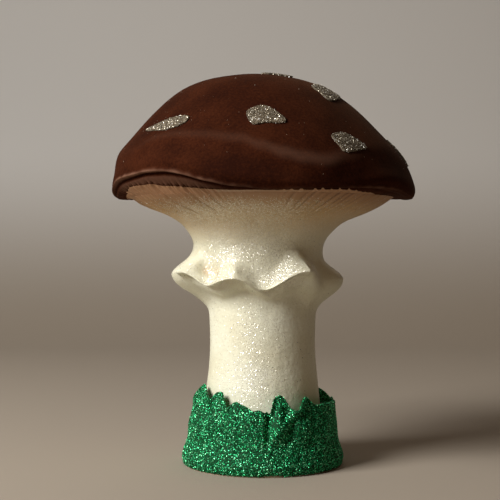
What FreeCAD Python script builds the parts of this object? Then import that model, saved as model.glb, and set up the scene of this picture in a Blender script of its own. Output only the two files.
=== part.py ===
import FreeCAD, Part
import math
import os

import Sketcher

# A mushroom ornament made of pressed paper pulp, in millimetres, +Z up.
# The origin is the centre of the foot's underside. The front faces -Y.
# Turns are in degrees, counted from the front towards +X.
# The cap lifts straight off a card ring that is glued into the mouth of the stem.

SIZES = (
    # Foot: a card disc under a ring of moulded grass.
    ("disc_thickness", 1.2, "card disc under the foot"),
    ("disc_inset", 0.6, "how far the disc stays inside the foot of the grass"),
    ("grass_depth", 8.0, "grass ring at its lower edge, out from the stem"),
    ("grass_swell", 0.5, "how far the foot bulges over its lower edge"),
    ("grass_waist_step", 1.9, "how far the waist lies inside the lower edge"),
    ("grass_top_step", 2.7, "how far the roots of the blades lie inside the lower edge"),
    ("grass_height", 30.0, "mean height of the gaps between blades"),
    ("blade_length", 10.0, "how far the tallest blade stands over that height"),
    ("blade_lean", 6.0, "how far the tallest blade leans in at its tip"),
    ("cleft_depth", 1.3, "how far the gaps between blades are pressed in"),
    ("grass_gap", 0.2, "glue line between grass and stem"),
    # Stem: one hollow pressing from the disc to the mouth.
    ("stem_wall", 3.0, "pulp of the stem"),
    ("stem_foot_radius", 31.6, "stem where it stands on the disc"),
    ("foot_taper", 3.9, "how far the conical foot of the stem narrows"),
    ("shank_taper", 1.7, "how far the stem narrows from there to its straight part"),
    ("collar_wave", 5.0, "how far the skirt's edge rises and falls"),
    ("collar_radius", 42.7, "reach of the skirt's largest lobe"),
    ("collar_drop", 18.0, "height of the skirt's underside"),
    ("collar_rise", 12.0, "height of the skirt's upper side"),
    ("neck_rise", 17.5, "from the mean height of the skirt's edge up to the neck"),
    ("neck_radius", 31.8, "narrowest place above the skirt"),
    ("neck_lean", 2.8, "how far the neck stands to the left of the foot"),
    ("funnel_height", 23.0, "from the neck up to the seat"),
    ("seat_height", 132.0, "plane where the cap rests on the stem"),
    ("seat_width", 11.0, "from the card hoop out to the edge of the stem's mouth"),
    # Neck ring: a card hoop that guides the cap.
    ("ring_wall", 1.6, "card of the hoop"),
    ("ring_depth", 3.5, "how deep the hoop is let into the stem"),
    ("ring_reach", 20.0, "how far the hoop stands into the cap"),
    ("ring_glue_gap", 0.2, "glue line between hoop and stem"),
    ("ring_clearance", 0.5, "running clearance between hoop and cap"),
    # Cap: a hollow pressing with a rolled rim.
    ("cap_radius", 75.6, "rim of the cap"),
    ("rim_overhang", 10.6, "how far the rim stands out over the stem's mouth"),
    ("cap_height", 61.0, "from the seat to the crown"),
    ("cap_wall", 3.0, "pulp of the cap"),
    ("cap_lean", 3.6, "how far the crown stands to the left of the rim"),
    ("rim_wave", 9.0, "how far the rim arches up at its highest"),
    ("rim_stray", 1.0, "how far the rim strays from a circle"),
    ("scoop_depth", 3.0, "deepest hollow in the flank of the cap"),
    # Spots: raised pads stuck on the cap.
    ("spot_length", 20.0, "length of an ordinary pad along the cap"),
    ("spot_width", 12.0, "width of an ordinary pad up the cap"),
    ("spot_thickness", 1.1, "pads on the cap"),
    # One length lets every cut run past the faces that it cuts.
    ("overrun", 2.0, "how far cuts run past the pulp"),
)

# Sizes that follow from those above, as formulas of the sheet.
FITTED_SIZES = (
    ("seat_radius", "cap_radius - rim_overhang", "outer edge of the stem's mouth"),
    ("ring_radius", "seat_radius - seat_width", "outside of the card hoop"),
    ("neck_height", "seat_height - funnel_height", "narrowest place above the skirt"),
    ("collar_height", "neck_height - neck_rise", "mean height of the skirt's edge"),
    ("shank_foot_height", "grass_height + blade_length", "top of the stem's conical foot"),
    ("shank_foot_radius", "stem_foot_radius - foot_taper", "stem at the top of that foot"),
    ("shank_radius", "shank_foot_radius - shank_taper", "straight part of the stem"),
    ("grass_foot_radius", "stem_foot_radius + grass_depth", "grass ring at its lower edge"),
    ("grass_waist_radius", "grass_foot_radius - grass_waist_step", "grass ring at its waist"),
    ("grass_top_radius", "grass_foot_radius - grass_top_step", "where the blades begin"),
    ("disc_radius", "grass_foot_radius - disc_inset", "card disc under the foot"),
)

# Rim of the cap: turn, share of rim_wave, share of rim_stray.
RIM_SHARES = (
    (-90, -0.24, -0.4),
    (-62, 0.62, 0.2),
    (-38, 1.0, 0.0),
    (-12, 0.30, 0.0),
    (8, 0.03, 0.2),
    (48, 0.22, 0.0),
    (90, -0.30, 0.9),
    (124, 0.34, 0.2),
    (158, 0.02, 0.6),
    (196, 0.55, -0.2),
    (232, 0.08, 0.3),
)

# Hollows and swellings in the flank of the cap: turn, share of scoop_depth.
SCOOP_SHARES = (
    (-84, 0.10),
    (-50, -0.30),
    (-20, 0.10),
    (14, 0.60),
    (46, 1.00),
    (88, 0.15),
    (128, 0.60),
    (170, -0.20),
    (214, 0.70),
    (250, 0.0),
)

# Underside of the cap, from the seat out to the rim: shares of the reach from seat to rim,
# of the cap's height and of the rim's wave.
UNDERSIDE_SHARES = (
    (0.0, 0.0, 0.0),
    (0.50, 0.002, 0.55),
    (0.86, 0.020, 0.96),
)

# Outside of the cap, from the rim up to the crown: shares of the cap's radius and height,
# of the rim's wave, of the lean and of the scoop.
DOME_SHARES = (
    (1.000, 0.085, 1.00, 0.00, 0.10),
    (0.990, 0.165, 0.75, 0.00, 0.70),
    (0.962, 0.270, 0.45, 0.25, 1.00),
    (0.912, 0.365, 0.20, 0.55, 0.60),
    (0.850, 0.450, 0.05, 0.70, 0.15),
    (0.786, 0.535, 0.00, 0.78, 0.00),
    (0.724, 0.620, 0.00, 0.84, 0.00),
    (0.660, 0.700, 0.00, 0.90, 0.00),
    (0.582, 0.785, 0.00, 1.00, 0.00),
    (0.490, 0.867, 0.00, 1.10, 0.00),
    (0.384, 0.928, 0.00, 1.15, 0.00),
    (0.268, 0.968, 0.00, 1.15, 0.00),
    (0.140, 0.992, 0.00, 1.00, 0.00),
    (0.040, 1.000, 0.00, 1.00, 0.00),
)

# Skirt of the stem: turn, share of collar_wave, share of the reach from neck to collar_radius,
# share of collar_drop that the underside falls.
COLLAR_SHARES = (
    (-90, 0.45, 1.00, 1.00),
    (-61, 0.85, 0.86, 0.85),
    (-42, -0.40, 0.27, 0.60),
    (-18, 0.30, 0.56, 0.55),
    (6, -0.80, 0.12, 0.60),
    (36, 0.92, 0.96, 0.85),
    (58, -0.10, 0.50, 0.90),
    (82, 0.06, 0.97, 1.00),
    (112, -0.70, 0.30, 1.00),
    (140, 0.70, 0.85, 1.00),
    (165, -0.50, 0.20, 1.00),
    (190, 0.35, 0.75, 1.00),
    (214, -0.80, 0.25, 1.00),
    (240, 0.75, 0.92, 1.00),
    (256, -0.15, 0.50, 1.00),
)

# Profile of the skirt below its edge: shares of collar_drop and of the reach from shank to edge.
SKIRT_UNDER_SHARES = (
    (1.00, 0.02),
    (0.82, 0.10),
    (0.66, 0.25),
    (0.52, 0.50),
    (0.38, 0.75),
    (0.24, 0.91),
    (0.11, 0.985),
    (0.00, 1.00),
)

# Profile of the skirt above its edge: shares of collar_rise and of the reach from neck to edge.
SKIRT_UPPER_SHARES = (
    (0.10, 0.97),
    (0.26, 0.84),
    (0.44, 0.58),
    (0.62, 0.30),
    (0.82, 0.10),
)

# Straight part of the stem: share of the height from the conical foot to the skirt's foot,
# share of the step from shank_radius to the foot's radius.
SHANK_SHARES = (
    (0.30, 0.22),
    (0.62, 0.00),
)

# Outside of the funnel: shares of the height from neck to seat and of the reach from neck to
# seat, and share of the neck's lean.
FUNNEL_SHARES = (
    (0.00, 0.00, 0.70),
    (0.22, 0.095, 0.45),
    (0.42, 0.215, 0.20),
    (0.53, 0.34, 0.00),
    (0.64, 0.52, -0.45),
    (0.74, 0.68, -0.40),
    (0.86, 0.87, 0.00),
    (1.00, 1.00, 0.00),
)

# Inside of the funnel: shares of the height from neck to ledge, of the reach from neck to
# ledge and of the neck's lean.
FUNNEL_INSIDE_SHARES = (
    (0.00, 0.00, 0.70),
    (0.30, 0.10, 0.45),
    (0.55, 0.32, 0.15),
    (0.78, 0.66, 0.00),
    (1.00, 1.00, 0.00),
)

# Hollow of the stem at the skirt: share of the step from the shank's hollow to the neck's.
THROAT_SHARE = 0.35

# Grass ring: shares of grass_height where its foot swells and where its waist lies.
SWELL_HEIGHT_SHARE = 0.10
WAIST_HEIGHT_SHARE = 0.42

# Blades whose share lies within this one of a gap's are pressed in.
CLEFT_SHARE = 0.45

# Grass: turn of each tip or gap, share of blade_length over grass_height.
BLADE_SHARES = (
    (-86, 0.05),
    (-70, 0.95),
    (-50, 0.25),
    (-38, 0.86),
    (-29, 0.00),
    (-18, 0.34),
    (-8, 0.02),
    (0, 0.06),
    (6, -0.35),
    (15, 0.80),
    (27, 0.00),
    (37, 0.62),
    (46, 0.10),
    (66, 0.16),
    (80, -0.02),
    (92, 0.20),
    (104, 0.00),
    (120, 0.44),
    (132, -0.10),
    (146, 0.45),
    (158, 0.00),
    (170, 0.82),
    (184, -0.20),
    (196, 0.55),
    (208, 0.05),
    (222, 0.70),
    (236, 0.05),
    (247, 0.40),
    (256, 0.00),
    (265, 0.20),
)

# Outlines of the pads: shares of half the length along the cap and of half the width up it.
OUTLINE_SHARES = {
    "leaf": (
        (-1.00, -0.30),
        (-0.55, 0.40),
        (0.30, 0.95),
        (0.92, 1.00),
        (0.96, 0.00),
        (0.58, -0.80),
        (0.07, -1.00),
    ),
    "half_round": (
        (-1.00, 0.25),
        (-0.62, 0.78),
        (-0.10, 1.00),
        (0.36, 0.60),
        (1.00, -0.45),
        (0.78, -0.88),
        (-0.08, -0.75),
        (-0.72, -1.00),
    ),
    "slant": (
        (-0.86, 0.70),
        (0.33, 1.00),
        (0.74, 0.58),
        (1.00, 0.00),
        (0.70, -0.45),
        (-0.89, -1.00),
        (-1.00, -0.10),
    ),
    "pebble": (
        (-1.00, 0.70),
        (-0.13, 1.00),
        (0.42, 0.62),
        (1.00, -0.20),
        (0.62, -0.62),
        (-0.66, -1.00),
        (-0.86, -0.35),
    ),
}

# Pads on the cap: name, turn, shares of cap_height, spot_length and spot_width, tilt, outline.
SPOT_SHARES = (
    ("left", -45.5, 0.530, 1.30, 0.80, 0.0, "leaf"),
    ("centre", 3.8, 0.575, 0.865, 1.02, 0.0, "half_round"),
    ("upper_right", 56.0, 0.808, 0.875, 1.29, 0.0, "slant"),
    ("lower_right", 37.6, 0.372, 0.895, 0.975, 0.0, "pebble"),
    ("right_side", 88.5, 0.372, 0.60, 1.33, 8.0, "half_round"),
    ("crest", 56.0, 0.986, 0.75, 0.92, -56.0, "half_round"),
    ("rear_right", 143.0, 0.500, 0.95, 1.00, -10.0, "pebble"),
    ("rear_middle", 188.0, 0.740, 0.90, 1.04, 14.0, "half_round"),
    ("rear_low", 176.0, 0.330, 1.00, 0.92, 168.0, "leaf"),
    ("rear_left", 232.0, 0.440, 0.90, 1.00, 20.0, "slant"),
    ("upper_left", 246.0, 0.780, 0.85, 0.92, 190.0, "pebble"),
)

POINTS_AROUND_CAP = 48
POINTS_AROUND_STEM = 72
POINTS_AROUND_GRASS = 180
NOTE_COLUMN = "C"

doc = FreeCAD.newDocument("mushroom_ornament")


def add_sheet():
    """Writes the driving sizes to a spreadsheet, one alias for each."""
    sheet = doc.addObject("Spreadsheet::Sheet", "sizes")
    rows = [(name, str(value), note) for name, value, note in SIZES]
    rows += [(name, f"={formula}", note) for name, formula, note in FITTED_SIZES]
    for row, (name, content, note) in enumerate(rows, start=1):
        sheet.set(f"A{row}", name)
        sheet.set(f"B{row}", content)
        sheet.set(f"{NOTE_COLUMN}{row}", note)
        sheet.setAlias(f"B{row}", name)
    doc.recompute()
    return sheet


sizes = add_sheet()


class Size:
    """The sheet's values as plain attributes, read once."""

    def __init__(self, sheet):
        for name, _content, _note in SIZES + FITTED_SIZES:
            setattr(self, name, float(sheet.get(name)))


size = Size(sizes)


def around(table, turn, column):
    """Eased value of one column of a closed table, whose first column is the turn."""
    full_turn = 360.0
    start = table[0][0]
    turn = start + (turn - start) % full_turn
    for here, there in zip(table, table[1:] + (table[0],)):
        end = there[0] if there[0] > here[0] else there[0] + full_turn
        if here[0] <= turn <= end:
            way = (turn - here[0]) / (end - here[0])
            ease = (1 - math.cos(math.pi * way)) / 2
            return here[column] + (there[column] - here[column]) * ease
    return table[0][column]


def between(low, high, share):
    return low + (high - low) * share


def at(turn, radius, height, lean=0.0):
    """Point at a turn from the front, round a centre that leans to the left."""
    angle = math.radians(turn)
    return FreeCAD.Vector(radius * math.sin(angle) - lean, -radius * math.cos(angle), height)


def turns(count):
    return [360.0 * index / count for index in range(count)]


def closed_wire(points):
    """Smooth closed wire through the points."""
    curve = Part.BSplineCurve()
    curve.interpolate(Points=points, PeriodicFlag=True)
    return Part.Wire([curve.toShape()])


def solid_of(faces):
    """Closed solid inside faces that meet edge to edge."""
    shell = Part.makeShell(faces)
    shell.sewShape()
    solid = Part.makeSolid(shell)
    if solid.Volume < 0:
        solid.reverse()
    return solid


def rings_to_solid(rings):
    """Closed solid whose skin is drawn smoothly over rings of points, flat at both ends."""
    degree = 3
    count = len(rings[0])
    poles = [[ring[index] for ring in rings] for index in range(count)]
    round_knots = list(range(count + 1))
    upward_knots = list(range(len(rings) - degree + 1))
    upward_mults = [1] * len(upward_knots)
    upward_mults[0] = upward_mults[-1] = degree + 1
    surface = Part.BSplineSurface()
    surface.buildFromPolesMultsKnots(
        poles, [1] * len(round_knots), upward_mults, round_knots, upward_knots,
        True, False, degree, degree,
    )
    skin = surface.toShape()
    low_knot, high_knot = upward_knots[0], upward_knots[-1]
    ends = [Part.Face(Part.Wire([surface.vIso(knot).toShape()])) for knot in (low_knot, high_knot)]
    return solid_of([skin] + ends)


def grown(profile, index, growth):
    """One point of a profile (radius, height, lean), moved out along the profile's normal.

    The lowest point moves level and the crown straight up, so that both rings stay flat."""
    radius, height, lean = profile[index]
    if index == 0:
        return (radius + growth, height, lean)
    if index == len(profile) - 1:
        return (radius, height + growth, lean)
    run = profile[index + 1][0] - profile[index - 1][0]
    climb = profile[index + 1][1] - profile[index - 1][1]
    length = math.hypot(run, climb)
    return (radius + growth * climb / length, height - growth * run / length, lean)


def cap_profile(turn):
    """Outside of the cap at one turn, from the seat round the rim up to the crown."""
    wave = size.rim_wave * around(RIM_SHARES, turn, 1)
    rim = size.cap_radius + size.rim_stray * around(RIM_SHARES, turn, 2)
    scoop = size.scoop_depth * around(SCOOP_SHARES, turn, 1)
    profile = []
    for reach_share, height_share, wave_share in UNDERSIDE_SHARES:
        radius = between(size.seat_radius, rim, reach_share)
        height = size.seat_height + size.cap_height * height_share + wave * wave_share
        profile.append((radius, height, 0.0))
    for radius_share, height_share, wave_share, lean_share, scoop_share in DOME_SHARES:
        radius = rim * radius_share - scoop * scoop_share
        height = size.seat_height + size.cap_height * height_share + wave * wave_share
        profile.append((radius, height, size.cap_lean * lean_share))
    return profile


def stem_profile(turn):
    """Outside of the stem at one turn, from the disc up to the seat."""
    edge_height = size.collar_height + size.collar_wave * around(COLLAR_SHARES, turn, 1)
    edge_reach = around(COLLAR_SHARES, turn, 2)
    edge_radius = between(size.neck_radius, size.collar_radius, edge_reach)
    skirt_foot = size.collar_height - size.collar_drop
    underside = size.collar_drop * around(COLLAR_SHARES, turn, 3)
    profile = [
        (size.stem_foot_radius, size.disc_thickness, 0.0),
        (between(size.stem_foot_radius, size.shank_foot_radius, 0.5),
         between(size.disc_thickness, size.shank_foot_height, 0.5), 0.0),
        (size.shank_foot_radius, size.shank_foot_height, 0.0),
    ]
    for height_share, step_share in SHANK_SHARES:
        radius = between(size.shank_radius, size.shank_foot_radius, step_share)
        profile.append((radius, between(size.shank_foot_height, skirt_foot, height_share), 0.0))
    for drop_share, reach_share in SKIRT_UNDER_SHARES:
        radius = between(size.shank_radius, edge_radius, reach_share)
        height = edge_height - underside * drop_share
        profile.append((radius, height, size.neck_lean * (1 - drop_share)))
    for rise_share, reach_share in SKIRT_UPPER_SHARES:
        radius = between(size.neck_radius, edge_radius, reach_share)
        height = edge_height + size.collar_rise * rise_share
        profile.append((radius, height, size.neck_lean))
    for height_share, reach_share, lean_share in FUNNEL_SHARES:
        radius = between(size.neck_radius, size.seat_radius, reach_share)
        height = between(size.neck_height, size.seat_height, height_share)
        profile.append((radius, height, size.neck_lean * lean_share))
    return profile


def stem_inside_profile():
    """Hollow of the stem, from under the disc's top up to the ledge of the card hoop."""
    ledge_height = size.seat_height - size.ring_depth
    ledge_radius = size.ring_radius - size.ring_wall
    neck_inside = size.neck_radius - size.stem_wall
    shank_inside = size.shank_radius - size.stem_wall
    profile = [
        (size.stem_foot_radius - size.stem_wall, size.disc_thickness - size.overrun, 0.0),
        (size.shank_foot_radius - size.stem_wall, size.shank_foot_height, 0.0),
        (shank_inside, between(size.shank_foot_height, size.collar_height, 0.5), 0.0),
        (between(shank_inside, neck_inside, THROAT_SHARE), size.collar_height, size.neck_lean / 2),
    ]
    for height_share, reach_share, lean_share in FUNNEL_INSIDE_SHARES:
        radius = between(neck_inside, ledge_radius, reach_share)
        height = between(size.neck_height, ledge_height, height_share)
        profile.append((radius, height, size.neck_lean * lean_share))
    return profile


def rings_of(profiles, count):
    """Rings of points, one for each place along the profiles at every turn round."""
    columns = [profiles(turn) for turn in turns(count)]
    rings = []
    for index in range(len(columns[0])):
        ring = [at(turn, *column[index]) for turn, column in zip(turns(count), columns)]
        rings.append(ring)
    return rings


def form(name, shape):
    """A free form held by the document as a feature of its own."""
    feature = doc.addObject("Part::Feature", name)
    feature.Shape = shape
    return feature


def cut(name, base, tool):
    """One form less another, as a feature that stays linked to both."""
    feature = doc.addObject("Part::Cut", name)
    feature.Base = base
    feature.Tool = tool
    return feature


def cylinder(name, radius, height, place):
    """A cylinder whose radius, height and place along +Z are bound to the sheet."""
    feature = doc.addObject("Part::Cylinder", name)
    feature.setExpression("Radius", radius)
    feature.setExpression("Height", height)
    feature.setExpression("Placement.Base.z", place)
    return feature


def flat_ring(name, outer, inner, height, place):
    """A PartDesign body padded from one circle, or from two where it has a bore."""
    body = doc.addObject("PartDesign::Body", name)
    plane = [item for item in body.Origin.OriginFeatures if item.Role == "XY_Plane"][0]
    sketch = body.newObject("Sketcher::SketchObject", f"{name}_sketch")
    sketch.AttachmentSupport = [(plane, "")]
    sketch.MapMode = "FlatFace"
    centre = FreeCAD.Vector(0, 0, 0)
    upward = FreeCAD.Vector(0, 0, 1)
    for expression in [outer] + ([inner] if inner else []):
        start_radius = size.disc_radius
        circle = sketch.addGeometry(Part.Circle(centre, upward, start_radius), False)
        origin_point = 3
        sketch.addConstraint(Sketcher.Constraint("Coincident", circle, origin_point, -1, 1))
        radius = sketch.addConstraint(Sketcher.Constraint("Radius", circle, start_radius))
        sketch.setExpression(f"Constraints[{radius}]", expression)
    doc.recompute()
    pad = body.newObject("PartDesign::Pad", f"{name}_pad")
    pad.Profile = sketch
    pad.setExpression("Length", height)
    body.setExpression("Placement.Base.z", place)
    return body


def make_bottom_disc():
    """The card disc that closes the foot."""
    return flat_ring("bottom_disc", "sizes.disc_radius", None, "sizes.disc_thickness", "0 mm")


def make_neck_ring():
    """The card hoop in the mouth of the stem, standing on its ledge."""
    return flat_ring(
        "neck_ring",
        "sizes.ring_radius",
        "sizes.ring_radius - sizes.ring_wall",
        "sizes.ring_depth + sizes.ring_reach",
        "sizes.seat_height - sizes.ring_depth",
    )


def make_stem_shell():
    """The pressed stem: shank, skirt, neck and funnel in one hollow piece."""
    outside = form("stem_outside", rings_to_solid(rings_of(stem_profile, POINTS_AROUND_STEM)))
    inside_rings = rings_of(lambda turn: stem_inside_profile(), POINTS_AROUND_CAP)
    inside = form("stem_inside", rings_to_solid(inside_rings))
    socket = cylinder(
        "stem_socket",
        "sizes.ring_radius + sizes.ring_glue_gap",
        "sizes.ring_depth + sizes.overrun",
        "sizes.seat_height - sizes.ring_depth",
    )
    hollow = cut("stem_hollowed", outside, inside)
    return cut("stem_shell", hollow, socket)


def grass_loops():
    """Loops of the grass ring, from the inside of its foot over its outside to its inside top."""
    base = size.disc_thickness
    bore = size.stem_foot_radius + size.grass_gap
    slope = (size.stem_foot_radius - size.shank_foot_radius) / (size.shank_foot_height - base)
    swell_height = between(base, size.grass_height, SWELL_HEIGHT_SHARE)
    waist_height = between(base, size.grass_height, WAIST_HEIGHT_SHARE)
    loops = [[], [], [], [], [], []]
    for turn in turns(POINTS_AROUND_GRASS):
        share = around(BLADE_SHARES, turn, 1)
        pressed = size.cleft_depth * max(0.0, 1 - abs(share) / CLEFT_SHARE)
        lean = size.blade_lean * max(0.0, share)
        tip = size.grass_height + size.blade_length * share
        loops[0].append(at(turn, bore, base))
        loops[1].append(at(turn, size.grass_foot_radius, base))
        loops[2].append(at(turn, size.grass_foot_radius + size.grass_swell, swell_height))
        loops[3].append(at(turn, size.grass_waist_radius - pressed / 2, waist_height))
        loops[4].append(at(turn, size.grass_top_radius - pressed - lean, tip))
        loops[5].append(at(turn, bore - slope * (tip - base), tip))
    return loops


def make_grass_collar():
    """The moulded ring of grass round the foot of the stem."""
    edges = [closed_wire(loop).Edges[0] for loop in grass_loops()]
    faces = [Part.makeRuledSurface(low, high) for low, high in zip(edges, edges[1:] + edges[:1])]
    return form("grass_collar", solid_of(faces))


def make_cap_shell():
    """The pressed cap: a hollow dome with a rolled rim and a round mouth."""
    outside = form("cap_outside", rings_to_solid(rings_of(cap_profile, POINTS_AROUND_CAP)))

    def inside_profile(turn):
        profile = cap_profile(turn)
        floor_height = size.seat_height + size.cap_wall
        mouth = size.ring_radius + size.ring_clearance
        first = (mouth + size.ring_clearance, floor_height, 0.0)
        skipped = len(UNDERSIDE_SHARES) - 1
        kept = [index for index in range(1, len(profile)) if index != skipped]
        return [first] + [grown(profile, index, -size.cap_wall) for index in kept]

    inside = form("cap_inside", rings_to_solid(rings_of(inside_profile, POINTS_AROUND_CAP)))
    mouth = cylinder(
        "cap_mouth",
        "sizes.ring_radius + sizes.ring_clearance",
        "sizes.cap_wall + 2 * sizes.overrun",
        "sizes.seat_height - sizes.overrun",
    )
    hollow = cut("cap_hollowed", outside, inside)
    return cut("cap_shell", hollow, mouth), outside


def cap_point(turn, height_share):
    """Point of the cap's flank at a turn and a height, with the way out of the surface."""
    profile = cap_profile(turn)
    height = size.seat_height + size.cap_height * height_share
    start = len(UNDERSIDE_SHARES)
    for index in range(start, len(profile) - 1):
        low, high = profile[index], profile[index + 1]
        if low[1] <= height <= high[1]:
            break
    way = (height - low[1]) / (high[1] - low[1])
    radius, lean = between(low[0], high[0], way), between(low[2], high[2], way)
    run, climb = high[0] - low[0], high[1] - low[1]
    angle = math.radians(turn)
    outward = FreeCAD.Vector(math.sin(angle) * climb, -math.cos(angle) * climb, -run)
    outward.normalize()
    return at(turn, radius, height, lean), outward


def make_spots(cap_outside):
    """The raised pads, each cut from a skin that covers the outside of the cap."""
    def skin_profile(turn):
        profile = cap_profile(turn)
        return [grown(profile, index, size.spot_thickness) for index in range(len(profile))]

    skin = rings_to_solid(rings_of(skin_profile, POINTS_AROUND_CAP)).cut(cap_outside.Shape)
    spots = []
    for name, turn, height_share, length_share, width_share, tilt, outline in SPOT_SHARES:
        centre, outward = cap_point(turn, height_share)
        angle = math.radians(turn)
        level = FreeCAD.Vector(math.cos(angle), math.sin(angle), 0)
        uphill = outward.cross(level)
        spin = math.radians(tilt)
        along = level * math.cos(spin) + uphill * math.sin(spin)
        across = outward.cross(along)
        length = size.spot_length * length_share
        width = size.spot_width * width_share
        points = [
            centre - outward * length / 2 + along * (x * length / 2) + across * (y * width / 2)
            for x, y in OUTLINE_SHARES[outline]
        ]
        prism = Part.Face(closed_wire(points)).extrude(outward * length)
        pad = skin.common(prism)
        solids = sorted(pad.Solids, key=lambda solid: solid.Volume)
        spots.append(form(f"spot_{name}", solids[-1]))
    return spots


def check(parts):
    """Stops the build if any object failed or any sub-part has no sound shape."""
    doc.recompute()
    for item in doc.Objects:
        if "Invalid" in item.State or "Error" in item.State:
            raise SystemExit(f"{item.Name} failed: {item.State}")
    for part in parts:
        if part.Shape.isNull() or not part.Shape.isValid() or not part.Shape.Solids:
            raise SystemExit(f"{part.Label} has no sound shape")


def export(parts):
    """Writes each sub-part's solids to a file named after it."""
    os.makedirs("parts", exist_ok=True)
    for part in parts:
        part.Shape.exportStep(f"parts/{part.Label}.step")
        box = part.Shape.BoundBox
        print(
            f"{part.Label}: {len(part.Shape.Solids)} solid, {part.Shape.Volume / 1000:.2f} cm3, "
            f"z {box.ZMin:.2f} to {box.ZMax:.2f}, x {box.XMin:.2f} to {box.XMax:.2f}"
        )


cap_shell, cap_outside = make_cap_shell()
parts = [make_bottom_disc(), make_neck_ring(), make_stem_shell(), make_grass_collar(), cap_shell]
doc.recompute()
parts += make_spots(cap_outside)
check(parts)
export(parts)
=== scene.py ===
# %% [markdown]
# # A mushroom ornament: pressed pulp, velvet flock and glass glitter
# This lesson dresses a small mushroom that was first built as plain solids. The real thing is
# paper pulp pressed in a mould: a hollow stem, a hollow cap that lifts off a card hoop, and a
# ring of grass round the foot. The cap is flocked, the stem is painted cream and dusted with
# mica, and the grass and the pads on the cap carry crushed glass. The solids come first,
# because every piece made here must sit exactly where its solid sits.

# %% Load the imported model
import math
import random

import bpy
import numpy as np
from mathutils import Euler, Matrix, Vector
from mathutils.bvhtree import BVHTree
from mathutils.noise import noise


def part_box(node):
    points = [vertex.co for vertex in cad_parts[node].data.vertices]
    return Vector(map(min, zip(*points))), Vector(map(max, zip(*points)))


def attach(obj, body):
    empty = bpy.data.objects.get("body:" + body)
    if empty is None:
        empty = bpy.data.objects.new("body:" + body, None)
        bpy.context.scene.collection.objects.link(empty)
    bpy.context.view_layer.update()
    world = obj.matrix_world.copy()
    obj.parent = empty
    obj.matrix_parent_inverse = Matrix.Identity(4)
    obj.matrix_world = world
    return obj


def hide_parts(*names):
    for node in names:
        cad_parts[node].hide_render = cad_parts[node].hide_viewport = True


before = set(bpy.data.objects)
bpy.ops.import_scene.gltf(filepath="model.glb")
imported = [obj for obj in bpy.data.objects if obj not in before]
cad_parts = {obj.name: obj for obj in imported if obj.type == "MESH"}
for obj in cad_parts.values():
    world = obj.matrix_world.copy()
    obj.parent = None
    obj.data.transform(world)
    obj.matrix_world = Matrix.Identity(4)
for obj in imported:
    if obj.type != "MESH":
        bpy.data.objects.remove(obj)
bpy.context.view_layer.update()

# %% [markdown]
# ## Sizes
# The sizes of the moulds are written once, in metres. Those that a solid shows by itself, such
# as the plane where the cap sits down or the card hoop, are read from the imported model, so the
# two can't drift apart. Places round the object are turns in degrees from the front.

# %% Sizes of the mouldings
DISC_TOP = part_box("bottom_disc")[1].z
SEAT_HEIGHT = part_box("stem_shell")[1].z
RING_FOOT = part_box("neck_ring")[0].z
RING_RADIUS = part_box("neck_ring")[1].x
RING_WALL = 0.0016
RING_GLUE_GAP = 0.0002
RING_CLEARANCE = 0.0005

CAP_RADIUS = 0.0756
RIM_OVERHANG = 0.0106
SEAT_RADIUS = CAP_RADIUS - RIM_OVERHANG
CAP_HEIGHT = 0.061
CAP_WALL = 0.003
CAP_LEAN = 0.0036
RIM_WAVE = 0.009
RIM_STRAY = 0.001
SCOOP_DEPTH = 0.003

STEM_WALL = 0.003
STEM_FOOT_RADIUS = 0.0316
SHANK_FOOT_HEIGHT = 0.040
SHANK_FOOT_RADIUS = 0.0277
SHANK_RADIUS = 0.026
COLLAR_HEIGHT = 0.0915
COLLAR_WAVE = 0.005
COLLAR_RADIUS = 0.0427
COLLAR_DROP = 0.018
COLLAR_RISE = 0.012
NECK_HEIGHT = 0.109
NECK_RADIUS = 0.0318
NECK_LEAN = 0.0028

GRASS_FOOT_RADIUS = 0.0396
GRASS_SWELL = 0.0005
GRASS_WAIST_RADIUS = 0.0377
GRASS_TOP_RADIUS = 0.0369
GRASS_HEIGHT = 0.030
GRASS_GAP = 0.0002
BLADE_LENGTH = 0.010
BLADE_LEAN = 0.006
print("seat at", round(SEAT_HEIGHT * 1000, 1), "mm, hoop", round(RING_RADIUS * 1000, 1), "mm")

# %% [markdown]
# The forms are tables of shares. A wave has a row for each turn round the object
# and a profile has a row for each step along it, so a rim or a skirt is redrawn by changing a
# few numbers.

# %% Tables of the waves
RIM_SHARES = (
    # turn, height of the rim, stray of its radius
    (-90, -0.24, -0.4), (-62, 0.62, 0.2), (-38, 1.0, 0.0), (-12, 0.30, 0.0), (8, 0.03, 0.2),
    (48, 0.22, 0.0), (90, -0.30, 0.9), (124, 0.34, 0.2), (158, 0.02, 0.6), (196, 0.55, -0.2),
    (232, 0.08, 0.3),
)
SCOOP_SHARES = (
    # turn, depth of the scoop above the rim
    (-84, 0.10), (-50, -0.30), (-20, 0.10), (14, 0.60), (46, 1.00), (88, 0.15), (128, 0.60),
    (170, -0.20), (214, 0.70), (250, 0.0),
)
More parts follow.
